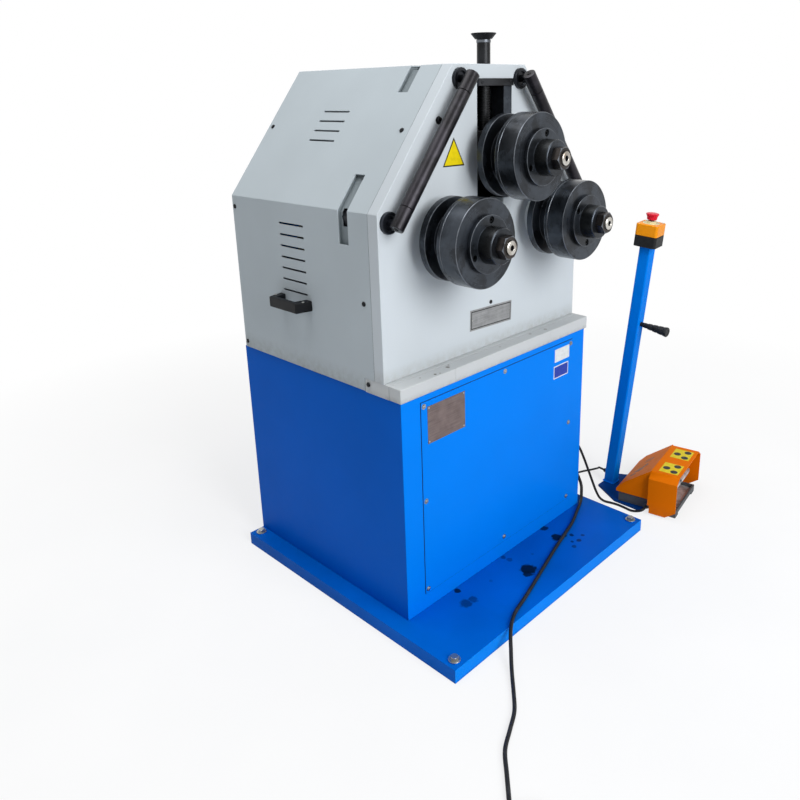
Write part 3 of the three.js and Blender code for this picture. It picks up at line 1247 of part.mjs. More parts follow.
const p = cordFloor(pedalCordDiameter);
const footMouth = (ahead) => footSwitch.localToWorld(new THREE.Vector3(
  -footBaseHalfWidth - footGlandLength - ahead, footGlandBack, footGlandHigh)).toArray();
freeCord('pedal_cable', [
  glandMouth(pedalGland, seatGap), glandMouth(pedalGland, cordLead), [443, -177, 226], [454, -187, 202],
  [463, -200, 165], [471, -213, 124], [479, -226, 82], [487, -238, 44], [495, -249, 19], [505, -262, 7],
  [514, -281, p], [518, -305, p], [517, -332, p], [513, -358, 6], [512, -380, 13], [518, -394, 19],
  footMouth(cordLead), footMouth(seatGap),
], pedalCordDiameter);

const s = cordFloor(stopCordDiameter);
const postMouth = (ahead) => leaning.localToWorld(new THREE.Vector3(
  0, postWidth / 2 + postGlandLength + ahead, postGlandAlong)).toArray();
freeCord('stop_cable', [
  glandMouth(stopGland, seatGap), glandMouth(stopGland, cordLead), [442, -66, 142], [451, -62, 114],
  [458, -58, 74], [469, -54, 36], [486, -52, 13], [512, -53, 5], [540, -56, s], [575, -66, s], [612, -78, s],
  [642, -90, s], [660, -104, 6], [665, -122, 15], [657, -140, 28], [647, -150, 38],
  postMouth(cordLead), postMouth(seatGap),
], stopCordDiameter);

export default machine;
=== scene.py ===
import math
import bmesh
import bpy
from mathutils import Matrix, Vector


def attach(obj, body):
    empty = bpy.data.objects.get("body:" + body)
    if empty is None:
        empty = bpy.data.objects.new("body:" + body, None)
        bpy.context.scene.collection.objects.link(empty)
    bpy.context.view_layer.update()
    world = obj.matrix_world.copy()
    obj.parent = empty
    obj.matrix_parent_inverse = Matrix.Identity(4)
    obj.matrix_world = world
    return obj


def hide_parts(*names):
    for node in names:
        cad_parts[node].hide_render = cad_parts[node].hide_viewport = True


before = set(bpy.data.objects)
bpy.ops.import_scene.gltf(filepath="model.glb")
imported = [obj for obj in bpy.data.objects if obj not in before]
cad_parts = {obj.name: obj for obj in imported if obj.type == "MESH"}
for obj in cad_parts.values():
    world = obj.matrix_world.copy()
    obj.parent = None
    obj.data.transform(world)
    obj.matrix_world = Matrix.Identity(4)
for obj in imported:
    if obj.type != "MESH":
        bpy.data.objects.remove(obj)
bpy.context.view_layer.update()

# Camera: at eye height off the machine's front left corner, looking a little down, with a slight tilt.
# Its frame is shifted a little, so that the machine stands where the photograph has it.
eye = Vector((-1.5037, -1.4306, 1.3527))
azimuth, elevation, tilt = (math.radians(angle) for angle in (-46.066, 16.588, -1.174))
backward = Vector((math.sin(azimuth) * math.cos(elevation), -math.cos(azimuth) * math.cos(elevation),
                   math.sin(elevation)))
level = Vector((0, 0, 1)).cross(backward).normalized()
plumb = backward.cross(level)
sideways = level * math.cos(tilt) + plumb * math.sin(tilt)


def stood(name, data):
    """A new object, in the scene."""
    made = bpy.data.objects.new(name, data)
    bpy.context.scene.collection.objects.link(made)
    return made


camera = stood("camera", bpy.data.cameras.new("camera"))
camera.matrix_world = Matrix.Translation(eye) @ Matrix(
    (sideways, backward.cross(sideways), backward)).transposed().to_4x4()
camera.data.lens, camera.data.sensor_width = 33.71, 36
camera.data.shift_x, camera.data.shift_y = -0.048, -0.1066
bpy.context.scene.camera = camera
bpy.context.scene.view_settings.view_transform = "Standard"


# Workshop light: a broad soft lamp in front of the machine, a weaker one over it, and pale surroundings
# on a pale floor that turns to white farther off.
class Wire:
    """A shader node's output, or a bare node tree. Sums and products on it add Math nodes."""

    def __init__(self, tree, socket=None):
        self.tree, self.socket = tree, socket

    def node(self, kind, ports=None, out=0, **settings):
        """A new node: its settings first, then the values or wires of its ports."""
        made = self.tree.nodes.new("ShaderNode" + kind)
        for setting, value in settings.items():
            setattr(made, setting, value)
        for port, value in (ports or {}).items():
            if isinstance(value, Wire):
                self.tree.links.new(value.socket, made.inputs[port])
            else:
                made.inputs[port].default_value = value
        return Wire(self.tree, made.outputs[out])

    def math(self, operation, first, second):
        """A sum or product, of which one side may be a number."""
        return self.node("Math", {0: first, 1: second}, operation=operation)

    def __add__(self, other):
        return self.math("ADD", self, other)

    __radd__ = __add__

    def __sub__(self, other):
        return self.math("SUBTRACT", self, other)

    def __rsub__(self, other):
        return self.math("SUBTRACT", other, self)

    def __mul__(self, other):
        return self.math("MULTIPLY", self, other)

    __rmul__ = __mul__

    def ramp(self, low, high, start=0.0, end=1.0):
        """The value taken from its range low to high onto start to end, and held at both ends."""
        return self.node("MapRange", {0: self, 1: low, 2: high, 3: start, 4: end})

    def mix(self, first, second):
        """The first colour where the value is 0, the second where it is 1."""
        return self.node("Mix", {0: self, 6: first, 7: second}, out=2, data_type="RGBA")

    def noise(self, scale, detail, roughness=0.5, distortion=0.0):
        """Noise over a place."""
        return self.node("TexNoise", {"Vector": self, "Scale": scale, "Detail": detail, "Roughness": roughness,
                                      "Distortion": distortion})

    def into(self, node, port):
        """Links the value to a port of a shader."""
        self.tree.links.new(self.socket, node.inputs[port])


def srgb(red, green, blue):
    """A colour as it is read off a picture, for a shader."""
    parts = [part / 255 for part in (red, green, blue)]
    return (*[part / 12.92 if part <= 0.04045 else ((part + 0.055) / 1.055) ** 2.4 for part in parts], 1.0)


def looked_at(wire):
    """One for a ray that reaches the camera directly, off a shiny face or through a clear one."""
    rays = [wire.node("LightPath", out=f"Is {ray} Ray") for ray in ("Camera", "Glossy", "Transmission")]
    return rays[0] + rays[1] + rays[2]


world = bpy.data.worlds.new("workshop_air")
world.use_nodes = True
bpy.context.scene.world = world
air = Wire(world.node_tree)
background = world.node_tree.nodes["Background"]
background.inputs["Color"].default_value = (1, 1, 1, 1)
looked_at(air).ramp(0, 1, 0.25, 1.0).into(background, "Strength")

for name, place, aim, size, power in (
        ("front_lamp", (-0.4, -3.6, 2.4), (0, -0.2, 0.8), 2.4, 116),
        ("side_lamp", (-3.6, 0.4, 2.8), (0, 0, 0.9), 2.2, 3),
        ("roof_lamp", (-0.5, 0.3, 3.9), (0, 0, 1.0), 2.4, 68)):
    lamp = stood(name, bpy.data.lights.new(name, "AREA"))
    lamp.data.size, lamp.data.energy = size, power
    lamp.location = place
    lamp.rotation_euler = (Vector(place) - Vector(aim)).to_track_quat("Z", "Y").to_euler()


def meshed(name, shaped):
    """A mesh out of a shaped form, which is used up."""
    mesh = bpy.data.meshes.new(name)
    shaped.to_mesh(mesh)
    shaped.free()
    return mesh


ground = bmesh.new()
bmesh.ops.create_grid(ground, x_segments=1, y_segments=1, size=15)
floor = stood("floor", meshed("floor", ground))
floor_paint = bpy.data.materials.new("pale_floor")
floor_paint.use_nodes = True
floor_paint.node_tree.nodes.clear()
boards = Wire(floor_paint.node_tree)
place = boards.node("TexCoord", out="Object")
away = place.node("VectorMath", {0: place}, out=1, operation="LENGTH")
cloud = place.noise(2.2, 4.0)
matt = boards.node("BsdfDiffuse", {"Color": cloud.ramp(0.3, 0.7).mix(srgb(232, 234, 236), srgb(240, 241, 242)),
                                   "Roughness": 0.9})
glow = boards.node("Emission", {"Color": (1, 1, 1, 1), "Strength": 1.0})
shown = looked_at(boards).ramp(0, 1) * away.ramp(0.9, 2.6, 0.72, 1.0)
surface = boards.node("MixShader", {0: shown, 1: matt, 2: glow})
surface.into(floor_paint.node_tree.nodes.new("ShaderNodeOutputMaterial"), "Surface")
floor.data.materials.append(floor_paint)


# Cords: the mains lead runs from its gland down onto the tray, off its front edge and along the floor to
# its coil, left of the view; one thin lead goes to the foot switch and one to the post's foot.
def at(x, y, z):
    """The place of a part that is moved there, unturned."""
    return Matrix.Translation((x, y, z))


def about(axis, angle):
    """A turn about an axis, in radians."""
    return Matrix.Rotation(angle, 4, axis)


tray_top, on_floor, plug_height = 43.3, 5.3, 31
mains_points = [
    (418.3, -183, 120), (430, -183, 120), (440, -186, 112), (447, -195, 92), (446, -205, 69), (434, -214, 52),
    (413, -227, tray_top + 0.7), (380, -243, tray_top), (342, -258, tray_top), (272, -286, tray_top),
    (207, -304, tray_top), (122, -327, tray_top), (-6, -365, tray_top), (-118, -398, tray_top),
    (-187, -417, tray_top + 0.3), (-230, -439, tray_top + 1), (-258, -459, 37), (-284, -481, 24),
    (-310, -503, 13), (-338, -528, 7), (-370, -557, on_floor), (-412, -592, on_floor), (-460, -617, on_floor),
    (-508, -642, on_floor), (-551, -681, on_floor), (-594, -721, on_floor)]
pedal_points = [
    (418.3, -173, 235), (430, -173, 235), (443, -177, 226), (454, -187, 202), (463, -200, 165),
    (471, -213, 124), (479, -226, 82), (487, -238, 44), (495, -249, 19), (505, -262, 7), (514, -281, 4.3),
    (518, -305, 4.3), (517, -332, 4.3), (513, -358, 6), (512, -380, 13), (518, -394, 19)]
stop_points = [
    (418.3, -68, 150), (430, -68, 150), (442, -66, 142), (451, -62, 114), (458, -58, 74), (469, -54, 36),
    (486, -52, 13), (512, -53, 5), (540, -56, 3.8), (575, -66, 3.8), (612, -78, 3.8), (642, -90, 3.8),
    (660, -104, 6), (665, -122, 15), (657, -140, 28), (647, -150, 38)]
post_x, post_y, post_half, post_lean = 642, -204, 19, math.radians(5.8)
leaning = at(post_x, post_y, 8.3 + post_half * math.sin(post_lean)) @ about("X", post_lean)
foot_switch = at(678, -473, 0) @ about("Z", math.radians(9.6))
pedal_points += [foot_switch @ Vector((-131, 100, 22)), foot_switch @ Vector((-119.3, 100, 22))]
stop_points += [leaning @ Vector((0, 45, 26)), leaning @ Vector((0, 33.3, 26))]

coil_turns, coil_pitch, coil_middle, coil_tail = 4, 10.9, 58, 12
coil_heading = math.radians(-137.4)
coil_inner = coil_middle - coil_pitch * coil_turns / 4
coil_outer = coil_middle + coil_pitch * coil_turns / 4
coil_mouth = Vector((-657, -778, 0))


def ease(value, low, high):
    """Nought below low, one above high, and a smooth rise between them."""
    share = min(max((value - low) / (high - low), 0), 1)
    return share * share * (3 - 2 * share)


def wound(turns):
    """A point of the coil, so many turns past the middle of its winding."""
    turned = coil_heading - math.pi / 2 + (turns + coil_turns / 2) * 2 * math.pi
    side = coil_heading + math.pi / 2
    reach = coil_inner + coil_pitch * abs(turns)
    height = on_floor + ease(turns, -0.25, 0.25) * coil_pitch \
        + ease(turns, coil_turns / 2 - 0.25, coil_turns / 2) * (plug_height - on_floor - coil_pitch)
    return coil_mouth + Vector((math.cos(turned) * reach + math.cos(side) * coil_outer,
                                math.sin(turned) * reach + math.sin(side) * coil_outer, height))


coil_way = Vector((math.cos(coil_heading), math.sin(coil_heading), 0))
coil_steps = 56 * coil_turns
coil_points = [wound(-coil_turns / 2 + coil_turns * i / coil_steps) for i in range(coil_steps + 1)]
coil_start, coil_end = coil_points[0] - coil_way * coil_tail, coil_points[-1] + coil_way * coil_tail
mains_points += [coil_start - coil_way * 12, coil_start - coil_way * 0.3]


def eased_route(points):
    """Points along the smooth curve that passes through the given ones, a few to each stretch."""
    between = 6
    knots = [Vector(p) for p in points]
    knots = [knots[0] * 2 - knots[1], *knots, knots[-1] * 2 - knots[-2]]
    route = []
    for before, start, stop, after in zip(knots, knots[1:], knots[2:], knots[3:]):
        a, b, c = ((q - p).length ** 0.5 for p, q in ((before, start), (start, stop), (stop, after)))
        leave = ((start - before) / a - (stop - before) / (a + b) + (stop - start) / b) * b
        reach = ((stop - start) / b - (after - start) / (b + c) + (after - stop) / c) * b
        for i in range(between):
            t = i / between
            route.append(start + leave * t + (stop * 3 - start * 3 - leave * 2 - reach) * t * t
                         + (start * 2 - stop * 2 + leave + reach) * t ** 3)
    return [*route, knots[-2]]


def lead(name, points, diameter, finish):
    """A round cord through those points."""
    line = bpy.data.curves.new(name, "CURVE")
    line.dimensions, line.bevel_depth, line.bevel_resolution = "3D", diameter / 2000, 4
    line.use_fill_caps = True
    spline = line.splines.new("POLY")
    spline.points.add(len(points) - 1)
    for knot, point in zip(spline.points, points):
        knot.co = (*[part / 1000 for part in point], 1)
    spline.use_smooth = True
    line.materials.append(finish)
    cord = stood(name, line)
    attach(cord, "machine")
    return cord


def bare_finish(name, colour, roughness, metallic=0.0, gloss=0.22):
    """A material, with its shader and a wire that carries the place on the object."""
    finish = bpy.data.materials.new(name)
    finish.use_nodes = True
    shader = finish.node_tree.nodes["Principled BSDF"]
    for port, value in (("Base Color", colour), ("Roughness", roughness), ("Metallic", metallic),
                        ("Specular IOR Level", gloss)):
        shader.inputs[port].default_value = value
    return finish, shader, Wire(finish.node_tree).node("TexCoord", out="Object")


def dress(shader, tone, rough, relief=None, strength=0.2, depth=0.0002):
    """Wires a shader's colour and roughness, and the relief of its skin."""
    tone.into(shader, "Base Color")
    rough.into(shader, "Roughness")
    if relief:
        relief.node("Bump", {"Strength": strength, "Distance": depth, "Height": relief}).into(shader, "Normal")


def rubber(name, colour, dusty):
    """Black rubber: dull, with a fine skin and pale dust in patches."""
    finish, shader, place = bare_finish(name, colour, 0.6)
    dust = place.noise(26.0, 5.0, 0.7).ramp(0.5, 0.78)
    skin = place.noise(900.0, 2.0)
    dress(shader, dust.mix(colour, dusty), dust * 0.25 + skin * 0.1 + 0.42, skin, 0.25, 0.0004)
    return finish


cord_rubber = rubber("cord_rubber", srgb(24, 25, 27), srgb(52, 54, 57))
mains_route = eased_route(mains_points) + [*eased_route([coil_start, coil_points[0]])[:-1], *coil_points, coil_end]
mains_lead = lead("mains_lead", mains_route, 10, cord_rubber)
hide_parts("mains_cable", "mains_coil")
pedal_lead = lead("pedal_lead", eased_route(pedal_points), 8, cord_rubber)
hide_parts("pedal_cable")
stop_lead = lead("stop_lead", eased_route(stop_points), 7, cord_rubber)
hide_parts("stop_cable")


# Mains plug: a moulded grip body with a tapered cord guard, and a sleeve round its five pins. Hard
# plastic, screwed together round the sleeve; it lies on the floor beside the coil.
def turned(profile, steps=72, closed=False):
    """A lathe piece: points of radius and length, turned about Z."""
    part = bmesh.new()
    dots = [part.verts.new((radius, 0, along)) for radius, along in profile]
    for first, second in zip(dots, dots[1:] + (dots[:1] if closed else [])):
        part.edges.new((first, second))
    bmesh.ops.spin(part, geom=part.verts[:] + part.edges[:], cent=(0, 0, 0), axis=(0, 0, 1), dvec=(0, 0, 0),
                   angle=math.tau, steps=steps, use_merge=True, use_duplicate=False)
    bmesh.ops.remove_doubles(part, verts=part.verts, dist=0.001)
    bmesh.ops.recalc_face_normals(part, faces=part.faces)
    return part


def eased(part, edges, radius, segments):
    """Rounds the given edges of a part."""
    bmesh.ops.bevel(part, geom=edges, offset=radius, offset_type="OFFSET", segments=segments, profile=0.5,
                    affect="EDGES", clamp_overlap=True, material=-1)
    return part


def eased_edges(part, radius, segments=3, angle=30, shortest=0.0):
    """Rounds the sharp edges of a part."""
    sharp = [e for e in part.edges if e.is_manifold and e.calc_face_angle() > math.radians(angle)
             and e.calc_length() > shortest]
    return eased(part, sharp, radius, segments)


def block(low, high, edge, corner=0.0, segments=2):
    """A box between two corners, with its upright corners and then its edges rounded."""
    part = bmesh.new()
    bmesh.ops.create_cube(part, size=1)
    span = Vector(high) - Vector(low)
    bmesh.ops.scale(part, vec=span, verts=part.verts)
    bmesh.ops.translate(part, vec=(Vector(high) + Vector(low)) / 2, verts=part.verts)
    if corner:
        eased(part, [e for e in part.edges if abs(e.verts[0].co.z - e.verts[1].co.z) > span.z / 2], corner, 8)
    return eased_edges(part, edge, segments) if edge else part


def place_at(part, place):
    """The part, put through a matrix."""
    bmesh.ops.transform(part, matrix=place, verts=part.verts)
    return part


def add(whole, part, place=None, finish=None):
    """Puts a shaped part into a piece's mesh, in its place and with its finish."""
    if place is not None:
        place_at(part, place)
    if finish is not None:
        for face in part.faces:
            face.material_index = finish
    held = meshed("held", part)
    whole.from_mesh(held)
    bpy.data.meshes.remove(held)


def piece(name, shaped, slot, *finishes, replaces=None, body="machine", smooth=32):
    """A finished piece from a mesh in millimetres: its materials, smooth shading and body; its slot is not used."""
    bmesh.ops.scale(shaped, vec=(0.001, 0.001, 0.001), verts=shaped.verts)
    made = stood(name, meshed(name, shaped))
    for finish in finishes:
        made.data.materials.append(finish)
    made.data.shade_smooth()
    made.data.set_sharp_from_angle(angle=math.radians(smooth))
    made.modifiers.new("even_shading", "WEIGHTED_NORMAL").keep_sharp = True
    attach(made, body)
    if replaces:
        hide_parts(replaces)
    return made


def facing(origin, direction):
    """The place of a part whose Z axis points that way from there."""
    return Matrix.Translation(origin) @ Vector(direction).to_track_quat("Z", "Y").to_matrix().to_4x4()


def shaded(colour, share, lift=0.0):
    """A colour made darker or lighter."""
    return (*[min(part * share + lift, 1) for part in colour[:3]], 1.0)


def plastic(name, colour, roughness, grain=0.2, pale=1.25):
    """Moulded plastic: a fine spark-eroded grain and slight handling marks."""
    finish, shader, place = bare_finish(name, colour, roughness, gloss=0.16)
    marks = place.noise(38.0, 6.0, 0.65)
    dress(shader, marks.ramp(0.35, 0.75).mix(colour, shaded(colour, pale, 0.004)),
          marks.ramp(0.3, 0.7, roughness - 0.08, roughness + 0.12), place.noise(1400.0, 2.0), grain)
    return finish


def metal(name, colour, roughness, marks=0.3, dirt=None):
    """Bare metal: fine scratches all ways, and darker where hands and oil have been."""
    finish, shader, place = bare_finish(name, colour, roughness, 1.0)
    scratches = place.noise(240.0, 8.0, 0.75, 1.5)
    patches = place.noise(30.0, 5.0, 0.6)
    dress(shader, patches.ramp(0.42, 0.72).mix(colour, dirt or shaded(colour, 0.55)),
          scratches * 0.16 + patches * 0.14 + (roughness - 0.14), scratches, marks)
    return finish


plug_red = plastic("plug_red", srgb(178, 34, 38), 0.4)
plug_black = plastic("plug_black", srgb(26, 27, 29), 0.5)
pin_nickel = metal("pin_nickel", srgb(196, 196, 190), 0.25)
plug = bmesh.new()
guard_rings = []
for i in range(6):
    guard_rings += [(9.5 + i * 0.9, 2 + i * 4.2), (9.5 + i * 0.9, 4.6 + i * 4.2), (8 + i * 0.9, 4.8 + i * 4.2),
                    (8 + i * 0.9, 6 + i * 4.2)]
add(plug, turned([(0, 0), (7.5, 0), (9.5, 1)] + guard_rings + [(14, 27), (14, 29), (0, 29)], 48), finish=1)
add(plug, turned([(0, 28), (16, 28), (24, 31), (29, 37), (31, 45), (31, 60), (30, 62), (30, 64), (31, 66),
                  (31, 104), (30, 106), (0, 106)]))
add(plug, turned([(0, 106), (30.4, 106), (31, 107), (31, 141), (30, 144), (28.6, 144), (28, 143), (28, 109),
                  (0, 109)]))
for i in range(12):
    add(plug, block((-2, -1.2, 67), (2, 1.2, 103), edge=0.6),
        about("Z", math.tau * i / 12) @ at(0, 29.6, 0))
for i in range(5):
    turn = math.tau * i / 5 + 0.3
    pin = turned([(0, 108), (3 + (i == 0) * 0.6, 108), (3 + (i == 0) * 0.6, 137), (1.8, 139), (0, 139)], 24)
    add(plug, pin, at(17 * math.cos(turn), 17 * math.sin(turn), 0), 2)
place_at(plug, facing(coil_end + coil_way * 0.3, coil_way))
mains_plug = piece("mains_plug_body", plug, "black_plastic", plug_red, plug_black, pin_nickel, replaces="mains_plug")


# Tray: a folded sheet steel tray with a deep skirt, painted with the cabinet. Its top and sides are a
# darker blue, partly oil and shoe dirt and partly painted shade, with spilt drops in front, and a bolt in
# each corner holds it to the floor.
def painted(name, colour, roughness, shade, dust=None, peel=0.12, marks=()):
    """Stoving enamel: an orange-peel skin and slow changes of tone.

    Dust is a colour and the heights in metres where it is full and gone. Each mark is a place in metres,
    a radius, a colour and how strongly it covers."""
    finish, shader, place = bare_finish(name, colour, roughness, gloss=0.03)
    broad, fine = place.noise(2.6, 3.0, 0.55), place.noise(60.0, 6.0, 0.7)
    deeper = shaded(colour, shade)
    tone = fine.ramp(0.62, 0.8, 0.0, 0.35).mix(broad.ramp(0.35, 0.7).mix(colour, deeper), deeper)
    rough = fine.ramp(0.3, 0.8, roughness - 0.04, roughness + 0.12)
    if dust:
        dirt, low, high = dust
        grime = place.node("SeparateXYZ", {0: place}, out="Z").ramp(low, high, 1.0, 0.0) \
            * fine.ramp(0.35, 0.7, 0.15, 0.85)
        tone, rough = grime.mix(tone, dirt), rough + grime * 0.2
    for spot, radius, stain, cover in marks:
        ragged = place.node("VectorMath", {0: place, 1: spot}, out=1, operation="DISTANCE") \
            + place.noise(55.0, 5.0, 0.6) * (radius * 1.3)
        spill = ragged.ramp(radius * 1.35, radius * 1.65, cover, 0.0)
        tone, rough = spill.mix(tone, stain), rough - spill * 0.18
    dress(shader, tone, rough, place.noise(520.0, 2.0, 0.4), peel, 0.0004)
    return finish


def stains(height, colour, spots):
    """Marks for enamel, from places and radii in millimetres at one height."""
    return [(Vector((x / 1000, y / 1000, height)), radius / 1000, colour, cover) for x, y, radius, cover in spots]


def softened(node, radius, shortest, segments=3, angle=38):
    """A welded copy of a frame node in millimetres, its flat faces whole and its long edges rounded."""
    shaped = bmesh.new()
    shaped.from_mesh(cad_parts[node].data)
    for face in shaped.faces:
        face.material_index = 0
    bmesh.ops.scale(shaped, vec=(1000, 1000, 1000), verts=shaped.verts)
    bmesh.ops.remove_doubles(shaped, verts=shaped.verts, dist=0.01)
    bmesh.ops.dissolve_limit(shaped, angle_limit=math.radians(0.6), use_dissolve_boundaries=False,
                             verts=shaped.verts, edges=shaped.edges, delimit=set())
    return eased_edges(shaped, radius, segments, angle, shortest)


spills = stains(0.038, srgb(5, 24, 46), (
    (-8, -325, 27, 0.96), (-26, -336, 15, 0.9), (179, -294, 21, 0.95), (202, -304, 10, 0.85), (219, -320, 8, 0.8),
    (210, -352, 9, 0.75), (192, -340, 6, 0.7), (174, -359, 8, 0.6), (241, -346, 7, 0.6), (193, -236, 15, 0.85),
    (-11, -237, 9, 0.55), (-7, -257, 10, 0.45), (-214, -239, 11, 0.9), (-239, -292, 20, 0.62),
    (-213, -296, 15, 0.55), (60, -290, 5, 0.3), (-120, -280, 6, 0.25)))
tray_blue_painted_shade = painted("tray_blue_painted_shade", srgb(0, 103, 208), 0.34, 0.72, marks=spills)
edge_blue = painted("tray_edge_blue", srgb(0, 138, 248), 0.36, 0.92, dust=(srgb(30, 90, 170), 0.0, 0.008))
tray = softened("base_tray", 3.2, 30)
# The top and the side faces take the darker blue, painted shade with dirt on the top; the front and back faces take
# the lighter blue.
for face in tray.faces:
    on_top = face.normal.z > 0.5 and face.calc_center_median().z > 36
    face.material_index = 0 if on_top or abs(face.normal.x) > 0.6 else 1
piece("tray", tray, "blue_paint", tray_blue_painted_shade, edge_blue, replaces="base_tray")


def carve(part, *cutters):
    """The part with the cutters taken away."""
    made = [stood("carved", meshed("carved", shaped)) for shaped in (part, *cutters)]
    for cutter in made[1:]:
        saw = made[0].modifiers.new("saw", "BOOLEAN")
        saw.operation, saw.solver, saw.object = "DIFFERENCE", "EXACT", cutter
    result = bmesh.new()
    result.from_mesh(made[0].evaluated_get(bpy.context.evaluated_depsgraph_get()).data)
    for thing in made:
        mesh = thing.data
        bpy.data.objects.remove(thing)
        bpy.data.meshes.remove(mesh)
    return result


def extruded(part, way):
    """A flat face, drawn out into a solid."""
    lifted = bmesh.ops.extrude_face_region(part, geom=part.faces[:])["geom"]
    bmesh.ops.translate(part, vec=way, verts=[v for v in lifted if isinstance(v, bmesh.types.BMVert)])
    bmesh.ops.recalc_face_normals(part, faces=part.faces)
    return part


def hexagon(flats, low, high, chamfer=0.0):
    """A hexagon bar along Z, with the corners of its upper end turned off."""
    part = bmesh.new()
    corner = flats / 2 / math.cos(math.pi / 6)
    bmesh.ops.create_circle(part, cap_ends=True, radius=corner, segments=6, matrix=at(0, 0, low))
    extruded(part, (0, 0, high - low))
    if chamfer:
        inner, outer = flats / 2 - chamfer * 0.3, corner + 3
        part = carve(part, turned([(inner, high + 1), (outer, high + 1), (outer, high - chamfer - 3 * 0.577),
                                   (corner, high - chamfer), (inner, high + 0.2)], closed=True))
    return part


zinc = metal("zinc_plate", srgb(176, 178, 176), 0.34)
anchor_bolts = bmesh.new()
for x, y in [(x, y) for y in (-410, 410) for x in (-413, 413)]:
    place = at(x, y, 40) @ about("Z", 0.4 + x * 0.01)
    add(anchor_bolts, turned([(8.4, 0), (15.4, 0), (15.4, 2), (15, 2.4), (8.4, 2.4)], 48, closed=True), place)
    add(anchor_bolts, hexagon(18, 2.4, 10, 1.2), place)
piece("anchor_bolts", anchor_bolts, "steel", zinc)

# Cabinet: a folded and welded sheet steel box with rounded folds, standing on the tray, and a thin front
# panel screwed on over a black seal that shows as a line round it, a painted shadow of the gap at its edge.
# Both are in blue enamel; all but the box's front faces take a darker copy of it, painted shade.
cabinet_blue_painted_shade = painted("cabinet_blue_painted_shade", srgb(0, 96, 204), 0.36, 0.9)
panel_blue = painted("panel_blue", srgb(0, 130, 245), 0.34, 0.94)
cabinet = softened("cabinet_shell", 3.0, 60)
# Faces other than the front take the darker blue as painted shade.
for face in cabinet.faces:
    face.material_index = 1 if face.normal.y < -0.6 and face.calc_center_median().y < -222 else 0
piece("cabinet", cabinet, "blue_paint", cabinet_blue_painted_shade, panel_blue, replaces="cabinet_shell")
black_seal_and_painted_gap = rubber("black_seal_and_painted_gap", srgb(14, 18, 26), srgb(30, 36, 46))
panel_face = -230.0
panel = block((-325, panel_face, 85), (325, -228, 627), edge=0.7)
# The black strip round the panel's edge is a painted shadow of the gap there.
add(panel, block((-326.4, -228.8, 83.6), (326.4, -228, 628.4), edge=0.3), finish=1)
piece("front_panel", panel, "blue_paint", panel_blue, black_seal_and_painted_gap, replaces="cabinet_front_panel")


def pan_head(radius, height, slot_width=1.2):
    """A round screw head along Z with a straight driver slot."""
    crown = turned([(0, 0), (radius, 0), (radius, height * 0.35), (radius * 0.86, height * 0.75),
                    (radius * 0.5, height), (0, height)], 32)
    return carve(crown, block((-radius - 1, -slot_width / 2, height * 0.45), (radius + 1, slot_width / 2, height + 1),
                              edge=0))


def forward(x, y, z):
    """The place of a part whose Z axis points to the front from there."""
    return at(x, y, z) @ about("X", math.radians(90))


panel_screws = bmesh.new()
for i, (x, z) in enumerate(((-316, 616), (0, 617), (316, 616), (-316, 356), (316, 356), (-316, 97), (0, 101),
                            (316, 97))):
    place = forward(x, panel_face, z) @ about("Z", i * 1.1)
    add(panel_screws, turned([(2, 0), (7, 0), (7, 0.8), (2, 0.9)], 32, closed=True), place)
    add(panel_screws, pan_head(5.2, 3.2), place @ at(0, 0, 0.8))
piece("panel_screws", panel_screws, "steel", zinc)


# Blank plates on the front panel: an engraver's plate of brushed metal with four rivets, and two blank
# stickers near the right edge.
def brushed(name, colour, roughness):
    """Metal brushed along X."""
    finish, shader, place = bare_finish(name, colour, roughness, 0.9)
    streaks = place.node("Mapping", {"Vector": place, "Scale": (12, 900, 900)}).noise(1.0, 4.0)
    dress(shader, (streaks * 0.6 + place.noise(45.0, 5.0) * 0.4).ramp(0.35, 0.65).mix(colour, shaded(colour, 0.6)),
          streaks * 0.2 + (roughness - 0.1), streaks, 0.15, 0.0001)
    return finish


def sticker(name, colour):
    """A printed foil, faintly mottled, with a satin face."""
    finish, shader, place = bare_finish(name, colour, 0.4)
    mottle = place.noise(90.0, 5.0)
    dress(shader, mottle.ramp(0.4, 0.75).mix(colour, shaded(colour, 0.85)), mottle.ramp(0.3, 0.7, 0.32, 0.5))
    return finish


plate_brown = brushed("plate_brown", srgb(138, 124, 122), 0.5)
plate_rivets = bmesh.new()
add(plate_rivets, block((-304, panel_face - 1, 511), (-166, panel_face, 612), edge=0.3))
for x in (-299, -171):
    for z in (516, 607):
        add(plate_rivets, turned([(0, 0), (2.6, 0), (2.4, 0.7), (1.4, 1.2), (0, 1.4)], 24),
            forward(x, panel_face - 1, z), 1)
piece("blank_rating_plate", plate_rivets, "steel", plate_brown, zinc)
blank_white = sticker("sticker_white", srgb(226, 230, 232))
blank_blue = sticker("sticker_blue", srgb(26, 58, 168))
stickers = bmesh.new()
add(stickers, block((235, panel_face - 0.5, 575), (309, panel_face, 615), edge=0.15))
add(stickers, block((231, panel_face - 0.5, 523), (305, panel_face, 563), edge=0.15))
add(stickers, block((234, panel_face - 0.8, 526), (302, panel_face - 0.4, 560), edge=0.15), finish=1)
piece("blank_stickers", stickers, "white_paint", blank_white, blank_blue)

